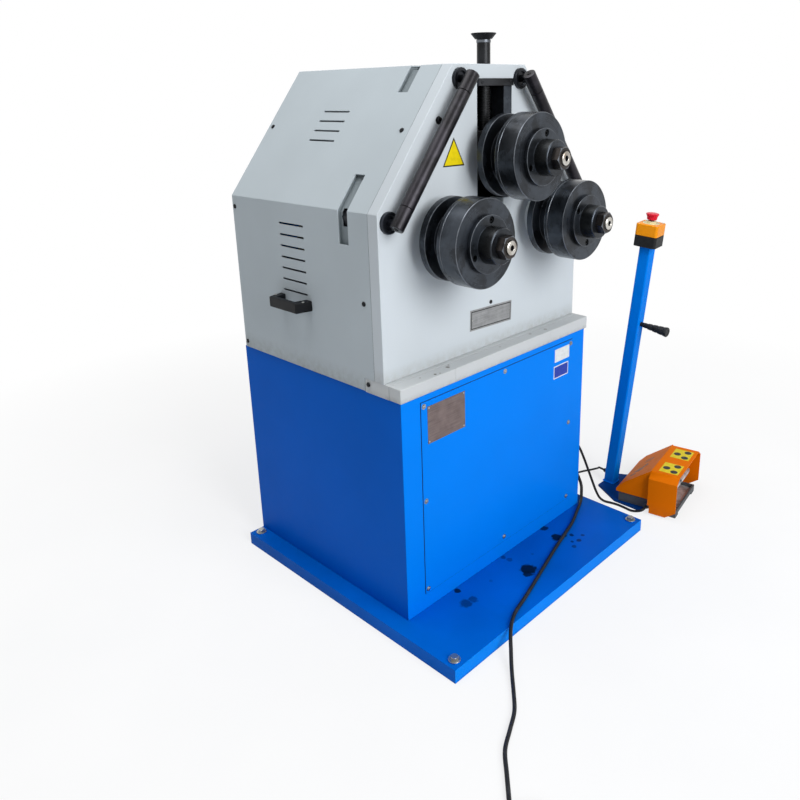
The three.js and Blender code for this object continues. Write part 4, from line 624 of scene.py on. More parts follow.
# Ledge and sole bar: two bars of painted flat steel on the cabinet's top, welded end to end and bolted
# under the head's front plate. The ledge stands a little in front of the cabinet.
white, dull_white = srgb(206, 214, 220), srgb(190, 200, 206)
drips = stains(0.683, srgb(84, 76, 64), (
    (-265, -222, 5, 0.9), (-252, -226, 3, 0.7), (-208, -212, 7, 0.75), (-196, -203, 4, 0.7), (-307, -211, 3, 0.5),
    (-1, -213, 4, 0.4), (142, -207, 5, 0.5), (206, -214, 6, 0.5)))
bar_white = painted("bar_white", srgb(202, 206, 208), 0.42, 0.93, (srgb(146, 148, 148), 0.645, 0.662), marks=drips)
bar_half, bar_foot, seat = 395.0, 647.0, 684.0
ledge = block((-bar_half, -234, bar_foot), (bar_half, -193, seat), edge=2.6, segments=4)
joints = [block((x - 0.4, -240, 640), (x + 0.4, -233.3, 690), edge=0) for x in (-203, 206)]
piece("ledge", carve(ledge, *joints), "white_paint", bar_white, replaces="front_ledge")
sole = block((-bar_half, -192.8, bar_foot), (bar_half, -108, seat), edge=1.2)
piece("sole", sole, "white_paint", bar_white, replaces="sole_bar")

# Front plate: flame-cut and machined steel plate with slanted shoulders, a slot for the slider, and the
# two lower shafts' bearing bosses. Painted white; its rebate is covered by the hood.
half_width, top_half, crease, top = 396.5, 139.0, 1090.0, 1415.5
face_y, rebate_y, back_y = -179.0, -145.0, -133.0
slot_half, slot_foot, gib_foot, slot_top, gib_edge = 52.4, 1052.0, 1080.0, 1382.0, 84.4
slant = math.atan2(top - crease, half_width - top_half)
slant_length = math.hypot(half_width - top_half, top - crease)
lower_x, lower_z, upper_z, shaft_bore = 204.0, 1014.5, 1196.0, 31.5
screw_axis, screw_bore = at(0, -156, 0), 17.6


def outlined(corners, way):
    """A flat outline, drawn out into a solid."""
    part = bmesh.new()
    part.faces.new([part.verts.new(corner) for corner in corners])
    return extruded(part, way)


def prism(corners, near, far):
    """An outline in X and Z, from one Y back to another."""
    return outlined([(x, near, z) for x, z in corners], (0, far - near, 0))


def head_outline(inset, bottom):
    """The head's outline in X and Z, moved in by some millimetres, down to a height."""
    side = half_width - inset
    lower = inset * math.tan(slant / 2)
    draw = inset / math.tan(slant) - inset / math.sin(slant)
    return [(side, bottom), (side, crease - lower), (top_half + draw, top - inset), (-top_half - draw, top - inset),
            (-side, crease - lower), (-side, bottom)]


def round_bar(radius, low, high, steps=48):
    """A plain round bar along Z, often a cutter."""
    return turned([(0, low), (radius, low), (radius, high), (0, high)], steps)


def bored(radius, near, far, x, z, steps=64):
    """A round cutter along Y."""
    return place_at(round_bar(radius, -far, -near, steps), forward(x, 0, z))


def openings(near, far):
    """Cutters for the slot, the gib's seat and the two lower shafts, from one Y back to another."""
    return [block((-slot_half, near, slot_foot), (slot_half, far, slot_top), edge=0),
            block((40, near, gib_foot), (gib_edge, far, slot_top), edge=0),
            *[bored(shaft_bore, near, far, side * lower_x, lower_z) for side in (-1, 1)]]


front_white = painted("front_white", white, 0.4, 0.93, (srgb(176, 178, 176), 0.684, 0.72))
front_plate = carve(eased_edges(prism(head_outline(0, seat), face_y, rebate_y), 1.6),
                    *openings(face_y - 10, rebate_y + 5), place_at(round_bar(screw_bore, 1380, 1420), screw_axis))
add(front_plate, carve(prism(head_outline(3.3, seat), rebate_y - 0.2, back_y), *openings(rebate_y - 5, back_y + 3)))
for side in (-1, 1):
    boss = turned([(shaft_bore, -0.3), (58, -0.3), (58, 20), (56, 22), (32.5, 22), (shaft_bore, 21)], 96, closed=True)
    add(front_plate, boss, forward(side * lower_x, face_y, lower_z))
piece("front_plate_cast", front_plate, "white_paint", front_white, replaces="front_plate")

# On the front plate's face: a blank silver plate with a dark inner line, set slightly askew, a dark plug
# above it, a bare yellow triangle of foil, and one socket screw in the left shoulder.
silver = brushed("plate_silver", srgb(168, 170, 172), 0.42)
line_black = plastic("line_black", srgb(38, 38, 40), 0.5)
name_plate = bmesh.new()
askew = at(2, face_y, 766) @ about("Y", math.radians(2.1))
for finish, half_x, half_z, high in ((0, 87, 28.5, 0.8), (1, 83, 24.5, 1.0), (0, 80.6, 22.1, 1.2)):
    add(name_plate, block((-half_x, -high, -half_z), (half_x, 0, half_z), edge=0.2), askew, finish)
for x in (-78, 78):
    add(name_plate, turned([(0, 0), (2.4, 0), (2.2, 0.8), (1.2, 1.3), (0, 1.4)], 24), askew @ forward(x, -1.2, 0), 2)
piece("blank_name_plate", name_plate, "steel", silver, line_black, zinc)
plug_hole = turned([(0, 0), (5.4, 0), (5.4, 1.6), (4.6, 2.4), (1.6, 2.4), (1.2, 0.9), (0, 0.9)], 32)
piece("blanking_plug", place_at(plug_hole, forward(0, face_y, 805)), "black_plastic", line_black)

foil_yellow = sticker("foil_yellow", srgb(238, 214, 20))
foil_black = sticker("foil_black", srgb(30, 30, 30))
triangle = bmesh.new()
middle = Vector((-139.5, 1200))
for finish, share, high in ((1, 1.0, 0.3), (0, 0.86, 0.5)):
    corners = [middle + (Vector(corner) - middle) * share for corner in ((-139, 1246), (-179, 1178), (-101, 1177))]
    add(triangle, prism(corners, face_y - high, face_y), finish=finish)
piece("blank_triangle", triangle, "yellow_plastic", foil_yellow, foil_black)

screw_black = metal("screw_black", srgb(44, 45, 48), 0.38, dirt=srgb(24, 25, 27))


def socket_screw(radius, height, key):
    """A cap screw's head along Z with its hexagon socket."""
    head = turned([(0, 0), (radius, 0), (radius, height - 0.8), (radius - 0.8, height), (0, height)], 40)
    return carve(head, hexagon(key, height * 0.4, height + 1))


face_screw = socket_screw(7.5, 6, 6)
add(face_screw, turned([(6, 0), (9.5, 0), (9.5, 0.8), (6, 0.8)], 40, closed=True))
piece("face_screw", place_at(face_screw, forward(-191, face_y, 1288)), "black_oxide", screw_black)

# Rear plate: a plain machined steel plate inside the hood, standing on the cabinet's top and tied to the
# front plate by the four rods. Primed grey, dusty at its foot.
primer = painted("grey_primer", srgb(112, 121, 127), 0.55, 0.85, dust=(srgb(86, 84, 78), 0.65, 0.8))
piece("back_plate", softened("rear_plate", 1.0, 25), "grey_paint", primer, replaces="rear_plate")


# Tie rods: turned steel rods through both plates, blacked, with a flange against the face, a neck for
# the guide bar, and hexagon nuts behind each plate.
def along_slant(side, along, inset):
    """A place so far up the slanted edge and so deep below it, on the left (-1) or right (1)."""
    return Vector((side * (half_width - along * math.cos(slant) - inset * math.sin(slant)), 0,
                   crease + along * math.sin(slant) - inset * math.cos(slant)))


def blacked(name, colour=srgb(38, 42, 50), roughness=0.34, centre=None, wear=0.5):
    """Oil-blacked steel: turning marks round its axis where it has one, worn thin in patches, and oily in broad
    patches whose darker tone is painted reflection.
    """
    finish, shader, place = bare_finish(name, colour, roughness, 0.75)
    shader.inputs["Coat Roughness"].default_value = 0.35
    shader.inputs["Coat Weight"].default_value = 0.25
    worn = place.noise(34.0, 7.0, 0.68)
    if centre:
        flat = place.node("VectorMath", {0: place, 1: (1, 0, 1), 2: (-centre[0], 0, -centre[1])},
                          operation="MULTIPLY_ADD")
        reach = place.node("VectorMath", {0: flat}, out=1, operation="LENGTH")
        along = place.node("SeparateXYZ", {0: place}, out="Y")
        rings = place.node("CombineXYZ", {"X": reach * 900.0, "Y": along * 900.0}).noise(1.0, 3.0)
    else:
        rings = place.noise(420.0, 4.0)
    # Broad patches painted darker as reflections, which also change the roughness.
    painted_reflection = place.noise(11.0, 3.0, 0.5, 0.8).ramp(0.42, 0.62)
    thin = worn.ramp(0.5, 0.8, 0.0, wear) + rings.ramp(0.45, 0.75, 0.0, 0.2)
    dress(shader, thin.mix(painted_reflection.mix(shaded(colour, 0.3), colour), shaded(colour, 2.3, 0.006)),
          worn * 0.2 + rings * 0.12 + painted_reflection * 0.1 + (roughness - 0.2), rings, 0.22, 0.00015)
    return finish


black = blacked("blacked_steel")
# Bright metal for rims and chamfers: edges partly worn bare and partly painted highlight.
bright_edge_and_painted_highlight = metal("bright_edge_and_painted_highlight", srgb(112, 117, 124), 0.34, dirt=srgb(58, 61, 66))


def brighten(part, *rims, finish=1):
    """Gives another finish to the turned faces whose middle lies at a radius and length."""
    for face in part.faces:
        middle = face.calc_center_median()
        reach = math.hypot(middle.x, middle.y)
        if any(abs(reach - radius) < 0.5 and abs(middle.z - along) < 0.5 for radius, along in rims):
            face.material_index = finish
    return part


rod_depth = 39
rods = {(side, end): along_slant(side, along, rod_depth)
        for side in (-1, 1) for end, along in (("lower", 4), ("upper", slant_length - 13))}
for (side, end), spot in rods.items():
    rod = turned([(0, 36), (8, 36), (9, 35), (9, 4), (16.5, 4), (18.6, 9), (24.5, 9),
                  (26, 7.5), (26, 0), (15, 0), (15, -299), (14, -300), (0, -300)], 64)
    # The chamfer in the flange's recess takes the bright finish as a painted highlight.
    brighten(rod, (17.5, 6.5))
    for near, far in ((-132, -110), (-300, -286)):
        add(rod, hexagon(45, near, far, 1.5), about("Z", 0.3))
    place_at(rod, forward(spot.x, face_y, spot.z))
    hand = {-1: "left", 1: "right"}[side]
    piece(f"tie_rod_{end}_{hand}_turned", rod, "black_oxide", black, bright_edge_and_painted_highlight, replaces=f"tie_rod_{end}_{hand}")

# Guide bars: blacked round bars in front of the slanted edges, each in three sleeves whose joints show
# as fine dark grooves, set on the tie rods' necks from in front, with a socket screw in each end.
bar_black = blacked("bar_black", srgb(36, 34, 40), 0.34)
for side, hand in ((-1, "left"), (1, "right")):
    low, high = -14.0, slant_length - 3
    seams = []
    for middle in (low + 55, high - 55):
        seams += [(radius, middle + along) for radius, along in (
            (17, -1.1), (16.6, -0.8), (14, -0.6), (14, 0.6), (16.6, 0.8), (17, 1.1))]
    bar = turned([(0, low), (12, low), (15.6, low + 0.4), (16.7, low + 1.2), (17, low + 2.2), *seams,
                  (17, high - 2.2), (16.7, high - 1.2), (15.6, high - 0.4), (12, high), (0, high)])
    add(bar, socket_screw(5.5, 1.6, 5), at(0, 0, high))
    add(bar, socket_screw(5.5, 1.6, 5), at(0, 0, low) @ about("X", math.pi))
    lean = about("Y", -side * (math.pi / 2 - slant))
    foot = rods[side, "lower"]
    place_at(bar, at(foot.x, face_y - 36, foot.z) @ lean)
    piece(f"guide_bar_{hand}_turned", bar, "black_oxide", bar_black, replaces=f"guide_bar_{hand}")

# Slot: a ground gib strip at its right side, and the cross bar at its top that carries the screw's nut,
# let into the plate and held by two socket screws.
gib_grey = metal("gib_grey", srgb(80, 86, 94), 0.45)
nut_bar_foot = 1364
gib = block((slot_half, face_y, gib_foot + 0.3), (gib_edge - 0.3, -139, nut_bar_foot), edge=0.8)
for z in (1100, 1178, 1256, 1334):
    add(gib, socket_screw(5, 1.2, 4), forward(68.3, face_y, z))
piece("gib", gib, "grey_paint", gib_grey, replaces="slot_gib")
nut_bar = carve(block((0.3 - slot_half, -186, nut_bar_foot), (gib_edge - 0.3, -126, slot_top - 0.3), edge=1.2),
                place_at(round_bar(screw_bore, 1350, 1400), screw_axis))
for x in (-40, 72):
    add(nut_bar, socket_screw(4.5, 1.6, 4), forward(x, -186, 1373))
piece("screw_nut_bar", nut_bar, "black_oxide", blacked("nut_bar_black", srgb(44, 46, 50), 0.42),
      replaces="spindle_nut")

# Hood: one folded and welded 3 mm sheet over the head, lifted off for service, with a thin black seal
# round its front edge. Punched louvres with round ends, spanner slots over the tie rods' nuts with sheet
# pockets behind them in a darker grey, painted shade in the slots, and small screws along its edges.
hood_white = painted("hood_white", dull_white, 0.44, 0.92, dust=(srgb(150, 152, 150), 0.64, 0.7))


def beside_slot(side, shallow, deep, end, upper):
    """The outline of a strip that follows the hood's wall past a spanner slot, between two depths."""
    rim = []
    for depth in (shallow, deep):
        if upper:
            draw = depth / math.tan(slant) - depth / math.sin(slant)
            foot = along_slant(side, slant_length - 85 + end, depth)
            line = [(foot.x, foot.z), (side * (top_half + draw), top - depth), (side * (104 + end), top - depth)]
        else:
            head = along_slant(side, 105 - end, depth)
            line = [(side * (half_width - depth), 1004 + end),
                    (side * (half_width - depth), crease - depth * math.tan(slant / 2)), (head.x, head.z)]
        rim += line if depth == shallow else line[::-1]
    return rim


def on_slant(side, along, y):
    """The place of a part whose Z axis points out of the slanted wall."""
    spot = along_slant(side, along, 0)
    return facing((spot.x, y, spot.z), (side * math.sin(slant), 0, math.cos(slant)))


back_pitch, wall_pitch, slant_pitch = 25.3, 29.6, 29.7
louvres = [facing((0, 420, crease + 2.5 - back_pitch * i), (0, 1, 0)) for i in range(6)]
for side in (-1, 1):
    louvres += [facing((side * half_width, 152.5, 1035.5 - wall_pitch * i), (side, 0, 0)) for i in range(7)]
    louvres += [on_slant(side, 188.5 + slant_pitch * i, 155) for i in range(4)]
slits = bmesh.new()
for place in louvres:
    add(slits, block((-52.5, -2.7, -6), (52.5, 2.7, 6), corner=2.6, edge=0), place)
for side, end in rods:
    add(slits, prism(beside_slot(side, -4, 4, 5, end == "upper"), -75, -39))
add(slits, round_bar(20, 1400, 1430), screw_axis)
hood = carve(eased_edges(prism(head_outline(0, 650), -144.7, 420), 1.4), prism(head_outline(3, 640), -160, 417),
             slits, block((-410, -150, 640), (410, -107.7, 684.3), edge=0))
piece("hood", hood, "white_paint", hood_white, replaces="head_cover")
seal = carve(prism(head_outline(0.7, seat + 3), -146.9, -143.4), prism(head_outline(2.7, seat - 5), -150, -140),
             block((-20, -150, 1400), (20, -140, 1430), edge=0))
piece("hood_seal", seal, "black_rubber", black_seal_and_painted_gap)

pockets = bmesh.new()
for side, end in rods:
    upper = end == "upper"
    pocket = carve(prism(beside_slot(side, 3.2, 12.4, 0, upper), -80, -34),
                   prism(beside_slot(side, -4, 11.2, 1.5, upper), -78.5, -35.5))
    if not upper:
        spot = rods[side, end]
        pocket = carve(pocket, bored(28.5, -76, -45.5, spot.x, spot.z, 48))
    add(pockets, pocket)
# The pockets' grey, darker than the hood's white, is painted shade inside the slots.
piece("slot_pockets", pockets, "white_paint", painted("pocket_grey_painted_shade", srgb(150, 160, 165), 0.5, 0.75))
hood_screws = bmesh.new()
for side in (-1, 1):
    places = [facing((side * half_width, y, z), (side, 0, 0))
              for y, z in ((-120, 874), (-122, 670), (408, 668), (408, 1060))]
    for place in [*places, on_slant(side, 226, -122), on_slant(side, 226, 400)]:
        add(hood_screws, pan_head(6.2, 3.2, 1.6), place)
piece("hood_screws", hood_screws, "black_oxide", screw_black)

# Hood handles: black moulded bridge handles with broad feet, to lift the hood off by. Each foot is held by
# one screw.
handle_black = plastic("handle_black", srgb(9, 12, 16), 0.42, 0.3)
for side, hand in ((-1, "left"), (1, "right")):
    plan = [(0, 83), (45, 94), (45, 210), (0, 221), (0, 198), (31, 190), (31, 114), (0, 106)]
    handle = eased_edges(outlined([(side * (half_width + out), y, 818) for out, y in plan], (0, 0, 28)), 3.2, 4, 12)
    for y in (92, 212):
        add(handle, pan_head(4, 2.2), facing((side * (half_width + 22), y, 845.4), (0, 0, 1)), 1)
    piece(f"bridge_handle_{hand}", handle, "black_plastic", handle_black, zinc, replaces=f"cover_handle_{hand}")

# Slider: a planed cast iron block in both plates' slots, wider between them, bored for the upper shaft.
# Greased iron, with the screw's collar let into its top from the front.
iron = metal("planed_iron", srgb(84, 86, 88), 0.5, 0.5, dirt=srgb(52, 50, 46))
slider = softened("slider_block", 0.8, 30)
piece("slider", slider, "cast_iron", iron, replaces="slider_block", body="slider")

# Screw: a blacked spindle with a rolled trapezoid thread, its collar held in the slider, and a smooth
# end above the head with a bright ring under the flared cap that a wrench or handwheel goes on.
pitch, crest_r, root_r = 6.0, 17.0, 13.9
thread = bmesh.new()
outline = [(root_r, 0), (root_r, 1.9), (crest_r, 2.9), (crest_r, 5.0), (root_r, pitch)]
knots = [thread.verts.new((radius, 0, along)) for radius, along in outline]
for first, second in zip(knots, knots[1:]):
    thread.edges.new((first, second))
thread_turns, thread_steps = 26, 40
bmesh.ops.spin(thread, geom=thread.verts[:] + thread.edges[:], cent=(0, 0, 0), axis=(0, 0, 1),
               dvec=(0, 0, pitch / thread_steps), angle=math.tau * thread_turns, steps=thread_steps * thread_turns,
               use_merge=False, use_duplicate=False)
bmesh.ops.remove_doubles(thread, verts=thread.verts, dist=0.02)
bmesh.ops.recalc_face_normals(thread, faces=thread.faces)
screw = turned([(0, 1232.3), (24, 1232.3), (25, 1233.3), (25, 1241.3), (24, 1242.3), (root_r, 1242.3),
                (root_r, 1396), (16.4, 1397), (17, 1398.5), (17, 1474.5), (0, 1474.5)])
place_at(screw, screw_axis)
add(screw, thread, screw_axis @ at(0, 0, 1237))
add(screw, turned([(16.9, 1466), (17.8, 1466.4), (18, 1467), (18, 1472), (17.8, 1472.6), (16.9, 1473)]),
    screw_axis, 1)
piece("screw_spindle", screw, "black_oxide", blacked("screw_black_oil", srgb(24, 26, 29), 0.3), bright_edge_and_painted_highlight,
      replaces="spindle", body="screw")
cap = turned([(0, 1474.5), (20.2, 1474.5), (21.4, 1475), (22.2, 1476), (30.6, 1485.8), (31.4, 1487), (31.5, 1487.8),
              (30.9, 1488.5), (14, 1488.5), (12.6, 1487.4), (9, 1486.6), (0, 1486.6)], 96)
add(cap, socket_screw(6, 1.8, 4), at(0, 0, 1486.5))
piece("flared_cap", place_at(cap, screw_axis), "black_plastic", plastic("cap_black", srgb(22, 23, 25), 0.38),
      replaces="spindle_cap", body="screw")

# Roll stations: on each shaft a back disc with its spacer, a roll of two hardened rings, and a clamping
# bush with three set screws, all blacked and ground, drawn up by a hexagon nut on the shaft's end.
set_screw = metal("set_screw_steel", srgb(26, 27, 30), 0.26)
neck_black = blacked("neck_black", srgb(24, 28, 31), 0.3)
worn_nut = metal("worn_nut", srgb(70, 66, 64), 0.36, dirt=srgb(34, 33, 34))
shaft_steel = metal("ground_shaft", srgb(206, 204, 198), 0.24, dirt=srgb(120, 104, 86))


def roll_station(name, body, x, z, tail, first):
    """The turned pieces of one station, by their lengths out from the front plate's face."""
    axis = forward(x, face_y, z)
    ground = blacked(f"{name}_ground_black", srgb(54, 60, 68), 0.27, (x / 1000, z / 1000), 0.35)
    shaft = turned([(0, -tail), (28, -tail), (30, 2 - tail), (30, 22), (25, 22), (25, 193.3), (16.5, 193.3),
                    (16.5, 231.4), (16, 231.9), (14.6, 232.9), (14, 233), (7.4, 233), (6.6, 232.4), (5, 229.6),
                    (5, 226), (0, 226)])
    # The centre hole in the shaft's end takes the black screw finish as painted shade in the hole.
    brighten(shaft, (5.8, 231), (5, 227.8), (2.5, 226))
    piece(f"{name}_shaft_turned", place_at(shaft, axis), "steel", shaft_steel, screw_black, replaces=f"{name}_shaft",
          body=body)

    disc = turned([(25.4, 22.5), (44, 22.5), (45, 23.5), (45, 38), (46, 39), (99.5, 39), (102, 41), (102, 57.2),
                   (101.6, 58.4), (100.4, 59), (71, 59), (70, 60), (70, 97.2), (25.4, 97.2)], 128, closed=True)
    # The disc's rims take the bright finish, partly wear and partly painted highlight.
    brighten(disc, (101.8, 57.8), (101, 58.7), (100.75, 40))
    piece(f"{name}_back_disc_turned", place_at(disc, axis), "black_oxide", ground, bright_edge_and_painted_highlight,
          replaces=f"{name}_back_disc", body=body)

    roll = turned([(25.4, 97.5), (101, 97.5), (103.4, 98), (105.4, 99.4), (106, 101), (106, 108.8), (105.2, 109.6),
                   (104.5, 109.8), (104.5, 110.2), (105.2, 110.4), (106, 111.2), (106, 156.9), (105.6, 157.9),
                   (104.6, 158.3), (25.4, 158.3)], 128, closed=True)
    # The roll's rims and the chamfers of its middle groove take it too, partly wear and partly painted highlight.
    brighten(roll, (105.8, 157.4), (105.1, 158.1), (105.7, 100.2), (105.6, 110.8), (105.6, 109.2))
    piece(f"{name}_roll_turned", place_at(roll, axis), "black_oxide", ground, bright_edge_and_painted_highlight, replaces=f"{name}_roll",
          body=body)

    bush = turned([(25.4, 158.6), (68, 158.6), (69, 159.4), (69, 167.4), (68.6, 168.3), (67.6, 168.6), (46, 168.6),
                   (44.8, 169), (44.4, 170), (43, 203), (42.4, 205), (40.6, 206.4), (16.9, 206.6), (16.9, 193.6),
                   (25.4, 193.6)], 96, closed=True)
    # The flange's rim takes the bright finish, partly wear and partly painted highlight.
    brighten(bush, (68.8, 167.9), (68.1, 168.5))
    brighten(bush, (43.7, 186.5), finish=3)
    circle = 57
    spots = [at(circle * math.cos(angle), circle * math.sin(angle), 0)
             for angle in (first + math.tau * i / 3 for i in range(3))]
    hole = [(0, 161.6), (7.6, 161.6), (8, 162.6), (8, 167.6), (9, 169), (9, 172), (0, 172)]
    bush = carve(bush, *[place_at(turned(hole, 32), spot) for spot in spots])
    for spot in spots:
        add(bush, socket_screw(6.4, 4.6, 6), spot @ at(0, 0, 161.7), 2)
    piece(f"{name}_clamp_turned", place_at(bush, axis), "black_oxide", ground, bright_edge_and_painted_highlight, set_screw, neck_black,
          replaces=f"{name}_roll_clamp", body=body)

    nut = carve(hexagon(50, 206.9, 227.9, 2.2),
                turned([(0, 195), (16.9, 195), (16.9, 226.6), (18.4, 229), (0, 229)], 64))
    # The chamfer round the nut's top takes the bright finish, partly wear and partly painted highlight.
    for face in nut.faces:
        if face.calc_center_median().z > 225.4 and 0.1 < face.normal.z < 0.97:
            face.material_index = 1
    place_at(nut, axis @ about("Z", first + 0.2))
    piece(f"{name}_nut_hexagon", nut, "black_oxide", worn_nut, bright_edge_and_painted_highlight, replaces=f"{name}_roll_nut", body=body)


roll_station("upper", "upper_roll_set", 0, upper_z, 296, math.radians(82))
roll_station("lower_left", "lower_left_roll_set", -lower_x, lower_z, 346, math.radians(84))
roll_station("lower_right", "lower_right_roll_set", lower_x, lower_z, 346, math.radians(146.5))

# Gear train: milled steel wheels on the two lower shafts and the pinion on the gearbox's shaft between
# them, greased, brown with old grease in the webs.
gear_steel = metal("greased_gear", srgb(126, 124, 118), 0.34, dirt=srgb(66, 52, 36))
for node in ("gear_left", "gear_right", "drive_pinion"):
    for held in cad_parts[node].material_slots:
        held.material = gear_steel

# Gearbox and motor: a worm gearbox in cast aluminium on its welded stand, and a finned flange motor with
# its terminal box and fan cowl, painted in the cabinet's blue.
cast_grey = metal("sand_cast_aluminium", srgb(150, 153, 155), 0.55, 0.8, dirt=srgb(112, 110, 106))
piece("gearbox_housing", softened("gearbox", 2.0, 45), "cast_aluminium", cast_grey, replaces="gearbox")
motor_blue = painted("motor_blue", srgb(10, 84, 188), 0.45, 0.8, dust=(srgb(70, 84, 104), 0.93, 1.0))
piece("finned_motor", softened("motor", 0.7, 30, segments=2), "blue_paint", motor_blue, replaces="motor")

# Control box: a powder-coated sheet steel box with a lipped door, screwed to the cabinet's right wall from
# inside, beside the place where the three leads come in.
box_grey = painted("powder_grey", srgb(150, 156, 160), 0.5, 0.9, peel=0.3)
piece("control_cabinet", softened("control_box", 1.4, 30), "grey_paint", box_grey, replaces="control_box")

# Gland plate: a black plate screwed on the outside of the right wall with three threaded cable glands,
# each with a hexagon body, a domed nut and a soft guard that bends with its lead.
gland_black = plastic("gland_black", srgb(30, 31, 33), 0.5)
gland_face = 394
glands = block((gland_face - 4, -203, 98), (gland_face, -38, 263), edge=0.8)
for y, z in ((-183, 120), (-173, 235), (-68, 150)):
    place = facing((gland_face, y, z), (1, 0, 0))
    add(glands, hexagon(26, -0.3, 9, 1.0), place)
    add(glands, turned([(0, 8.8), (11, 8.8), (11.6, 9.6), (11.6, 17), (10.4, 20), (8.8, 23.4), (7.6, 24), (0, 24)],
                       48), place)
    for i in range(10):
        add(glands, block((-0.8, -0.7, 10.2), (0.8, 0.7, 16.6), edge=0.3),
            place @ about("Z", math.tau * i / 10) @ at(0, 11.5, 0))
for y, z in ((-196, 105), (-45, 105), (-196, 256), (-45, 256)):
    add(glands, pan_head(3.4, 2), facing((gland_face, y, z), (1, 0, 0)), 1)
piece("cable_glands", glands, "black_plastic", gland_black, zinc, replaces="gland_plate")
for name, points, radius, reach in (("mains_guard", mains_points, 5.2, 18), ("pedal_guard", pedal_points, 4.2, 16),
                                    ("stop_guard", stop_points, 3.7, 16)):
    middle = eased_route(points)[:reach]
    guard = bmesh.new()
    ring = None
    for i, (here, after) in enumerate(zip(middle, middle[1:] + middle[-1:])):
        if i < reach - 1:
            way = facing(here, after - here)
        size = radius * (1.62 - 0.5 * i / reach) - (0.5 if i % 2 else 0)
        loop = bmesh.ops.create_circle(guard, cap_ends=i in (0, reach - 1), radius=size, segments=24)["verts"]
        bmesh.ops.transform(guard, matrix=Matrix.Translation(here - way.translation) @ way, verts=loop)
        edges = {edge for vert in loop for edge in vert.link_edges if edge.other_vert(vert) in loop}
        if ring:
            bmesh.ops.bridge_loops(guard, edges=[*ring, *edges])
        ring = edges
    bmesh.ops.recalc_face_normals(guard, faces=guard.faces)
    piece(name, guard, "black_rubber", cord_rubber, smooth=50)

# Control post: a square tube on a flared foot plate, welded leaning back, in the cabinet's blue, and a
# tapered rubber grip screwed in its front for carrying the post about.
post_blue = painted("post_blue", srgb(0, 132, 246), 0.36, 0.86)
plate_blue = painted("foot_plate_blue", srgb(2, 66, 142), 0.42, 0.75, dust=(srgb(40, 62, 84), 0.0, 0.009))
piece("foot_plate", softened("post_foot_plate", 1.6, 10), "dark_blue_paint", plate_blue, replaces="post_foot_plate")
tube = block((-post_half, -post_half, 0), (post_half, post_half, 866), corner=4.5, edge=0.4)
add(tube, turned([(0, 18.7), (8, 18.7), (8, 26), (7.4, 27), (7.4, 29), (5.6, 33), (0, 33)], 40),
    at(0, 0, 26) @ about("X", math.radians(-90)), 1)
place_at(tube, leaning)
add(tube, block((-22.4, -22.8, 0), (22.4, 22.8, 3.4), corner=5, edge=1.6), at(post_x, post_y, 8))
piece("leaning_tube", tube, "blue_paint", post_blue, gland_black, replaces="post_tube")
grip_rubber = rubber("grip_rubber", srgb(22, 24, 26), srgb(50, 52, 54))
grip_profile, taper = [(0, 0), (8, 0), (7.4, 2), (7.2, 6)], 9 / 95
for start in (19, 38, 57, 76):
    grip_profile += [(7 + taper * start + lower, start + along)
                     for lower, along in ((0, 0), (-0.9, 2), (-0.7, 5), (taper * 8, 8), (taper * 14, 14))]
grip_profile += [(16, 90), (15.6, 93.4), (14, 95), (8, 95), (7.4, 94.2), (0, 94.2)]
grip = place_at(turned(grip_profile, 64), leaning @ forward(0, -19.3, 604))
piece("tapered_grip", grip, "black_rubber", grip_rubber, replaces="post_grip")

# Stop button's box: a black moulded base and an orange-yellow lid held by four screws, and a latching red
# mushroom on its stem over a pale bare ring.
lid_yellow = plastic("lid_yellow", srgb(236, 146, 4), 0.36, 0.12, 1.12)
box_place = leaning @ at(0, 0, 866.3) @ about("Z", math.radians(7))
box_half, screw_reach = 36, 28
base = block((-box_half, -box_half, 0), (box_half, box_half, 35), corner=8, edge=0.8)
piece("button_box_base", place_at(base, box_place), "black_plastic", plastic("box_black", srgb(30, 31, 32), 0.5, 0.3),
      replaces="stop_box_base")
lid = carve(block((-box_half, -box_half, 35.3), (box_half, box_half, 72.3), corner=8, edge=2.2, segments=3),
            round_bar(8, 48, 80))
add(lid, turned([(8, 72.2), (15.4, 72.2), (15.4, 78.6), (14.4, 79.7), (8, 79.7)], 64, closed=True), finish=1)
add(lid, turned([(15, 72.2), (26, 72.2), (26, 72.9), (15, 72.9)], 64, closed=True), finish=1)
for x in (-screw_reach, screw_reach):
    for y in (-screw_reach, screw_reach):
        add(lid, pan_head(3.2, 1.2), at(x, y, 72) @ about("Z", x + y), 3)
piece("button_box_lid", place_at(lid, box_place), "yellow_plastic", lid_yellow,
      sticker("ring_pale", srgb(226, 220, 176)), gland_black, zinc, replaces="stop_box_lid")
stem = turned([(0, 52.3), (6.4, 52.3), (7, 53), (7, 94.3), (0, 94.3)], 48)
piece("button_stem", place_at(stem, box_place), "grey_plastic", plastic("stem_grey", srgb(86, 88, 92), 0.4),
      replaces="stop_stem", body="stop_plunger")
mushroom = turned([(7.5, 84.3), (14.6, 84.3), (15.5, 85.2), (15.9, 90), (17, 94.6), (18.8, 98), (19.8, 99.4),
                   (20, 100.4), (19.9, 101.8), (19, 103), (16, 103.9), (10, 104.25), (0, 104.3), (0, 94.8),
                   (7.5, 94.8)], 96)
piece("red_mushroom", place_at(mushroom, box_place), "red_plastic",
      plastic("button_red", srgb(200, 18, 46), 0.28, 0.05), replaces="stop_cap", body="stop_mushroom")

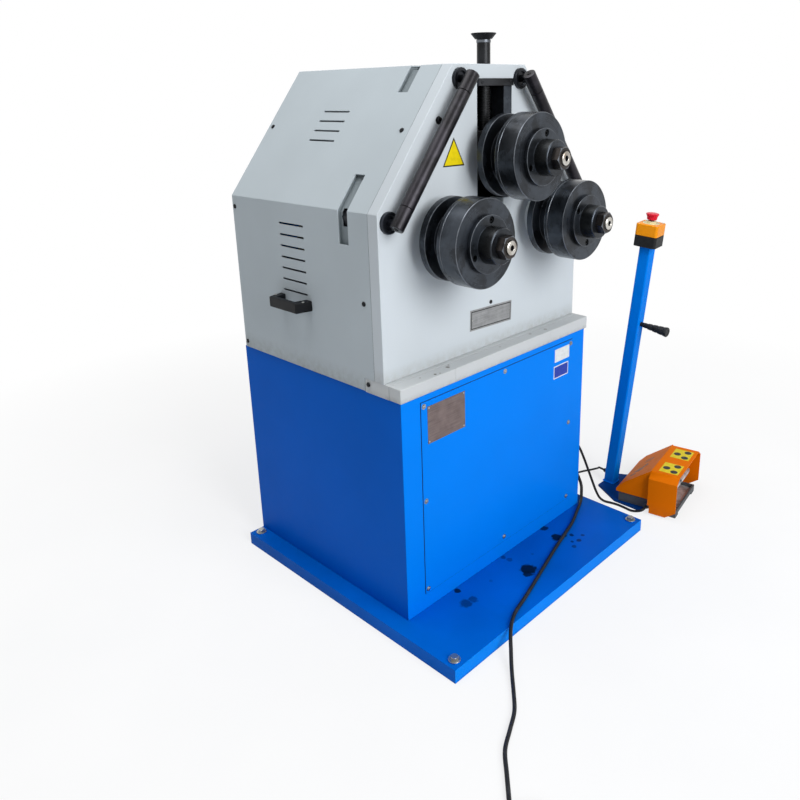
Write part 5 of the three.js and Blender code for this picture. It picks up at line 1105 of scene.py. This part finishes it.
# Foot switch: a grey moulded base on two pads, a folded sheet guard over it in orange enamel with two yellow
# foils of three black dots, and two ribbed aluminium pedals on one pin.
base_grey = plastic("base_grey", srgb(84, 87, 90), 0.55, 0.4, 1.2)
pedal_metal = metal("pedal_aluminium", srgb(206, 208, 210), 0.36, 0.4, dirt=srgb(128, 130, 132))
pedal_metal.node_tree.nodes["Principled BSDF"].inputs["Metallic"].default_value = 0.4
switch_base = carve(softened("foot_switch_base", 1.0, 12),
                    place_at(block((-130, -20, 24), (130, 92, 60), edge=0), foot_switch),
                    place_at(block((-100, 11, 13), (100, 140, 40), corner=4, edge=0), foot_switch),
                    place_at(block((-100, 90, 13), (100, 144, 60), corner=4, edge=0), foot_switch))
add(switch_base, block((-98, 13, 12.5), (98, 138, 14), edge=0.3), foot_switch, 1)
piece("switch_base", switch_base, "grey_plastic", base_grey, pedal_metal, replaces="foot_switch_base")
grease = [(foot_switch @ Vector(spot) / 1000, radius, srgb(58, 48, 24), cover) for spot, radius, cover in (
    ((-37, 158, 104), 0.02, 0.75), ((-12, 146, 118), 0.016, 0.6), ((-62, 170, 96), 0.014, 0.5),
    ((40, 150, 112), 0.02, 0.4))]
orange = painted("guard_orange", srgb(252, 126, 2), 0.42, 0.84, (srgb(206, 104, 30), 0.008, 0.05), marks=grease)
piece("switch_guard", softened("foot_switch_guard", 1.2, 12, angle=20), "orange_paint", orange,
      replaces="foot_switch_guard")
dots = bmesh.new()
for middle in (54, -61):
    add(dots, block((middle - 35, 11, 151), (middle + 35, 73, 151.4), edge=0.15))
    for u, v in ((-3, 57), (21, 28), (-20, 28)):
        add(dots, turned([(0, 151.3), (11.4, 151.3), (11.4, 151.6), (11.2, 151.7), (0, 151.7)], 40),
            at(middle + u, v, 0), 1)
piece("guard_foils", place_at(dots, foot_switch), "yellow_plastic", foil_yellow, foil_black)
pin = turned([(0, -103.3), (3.6, -103.3), (4, -102.9), (4, 102.9), (3.6, 103.3), (0, 103.3)], 32)
place_at(pin, foot_switch @ facing((0, 158, 72), (1, 0, 0)))
piece("pedal_hinge_pin", pin, "steel", zinc, replaces="pedal_pin")
for hand in ("left", "right"):
    piece(f"ribbed_pedal_{hand}", softened(f"pedal_{hand}", 0.5, 20, segments=2), "steel", pedal_metal,
          replaces=f"pedal_{hand}", body=f"{hand}_pedal")
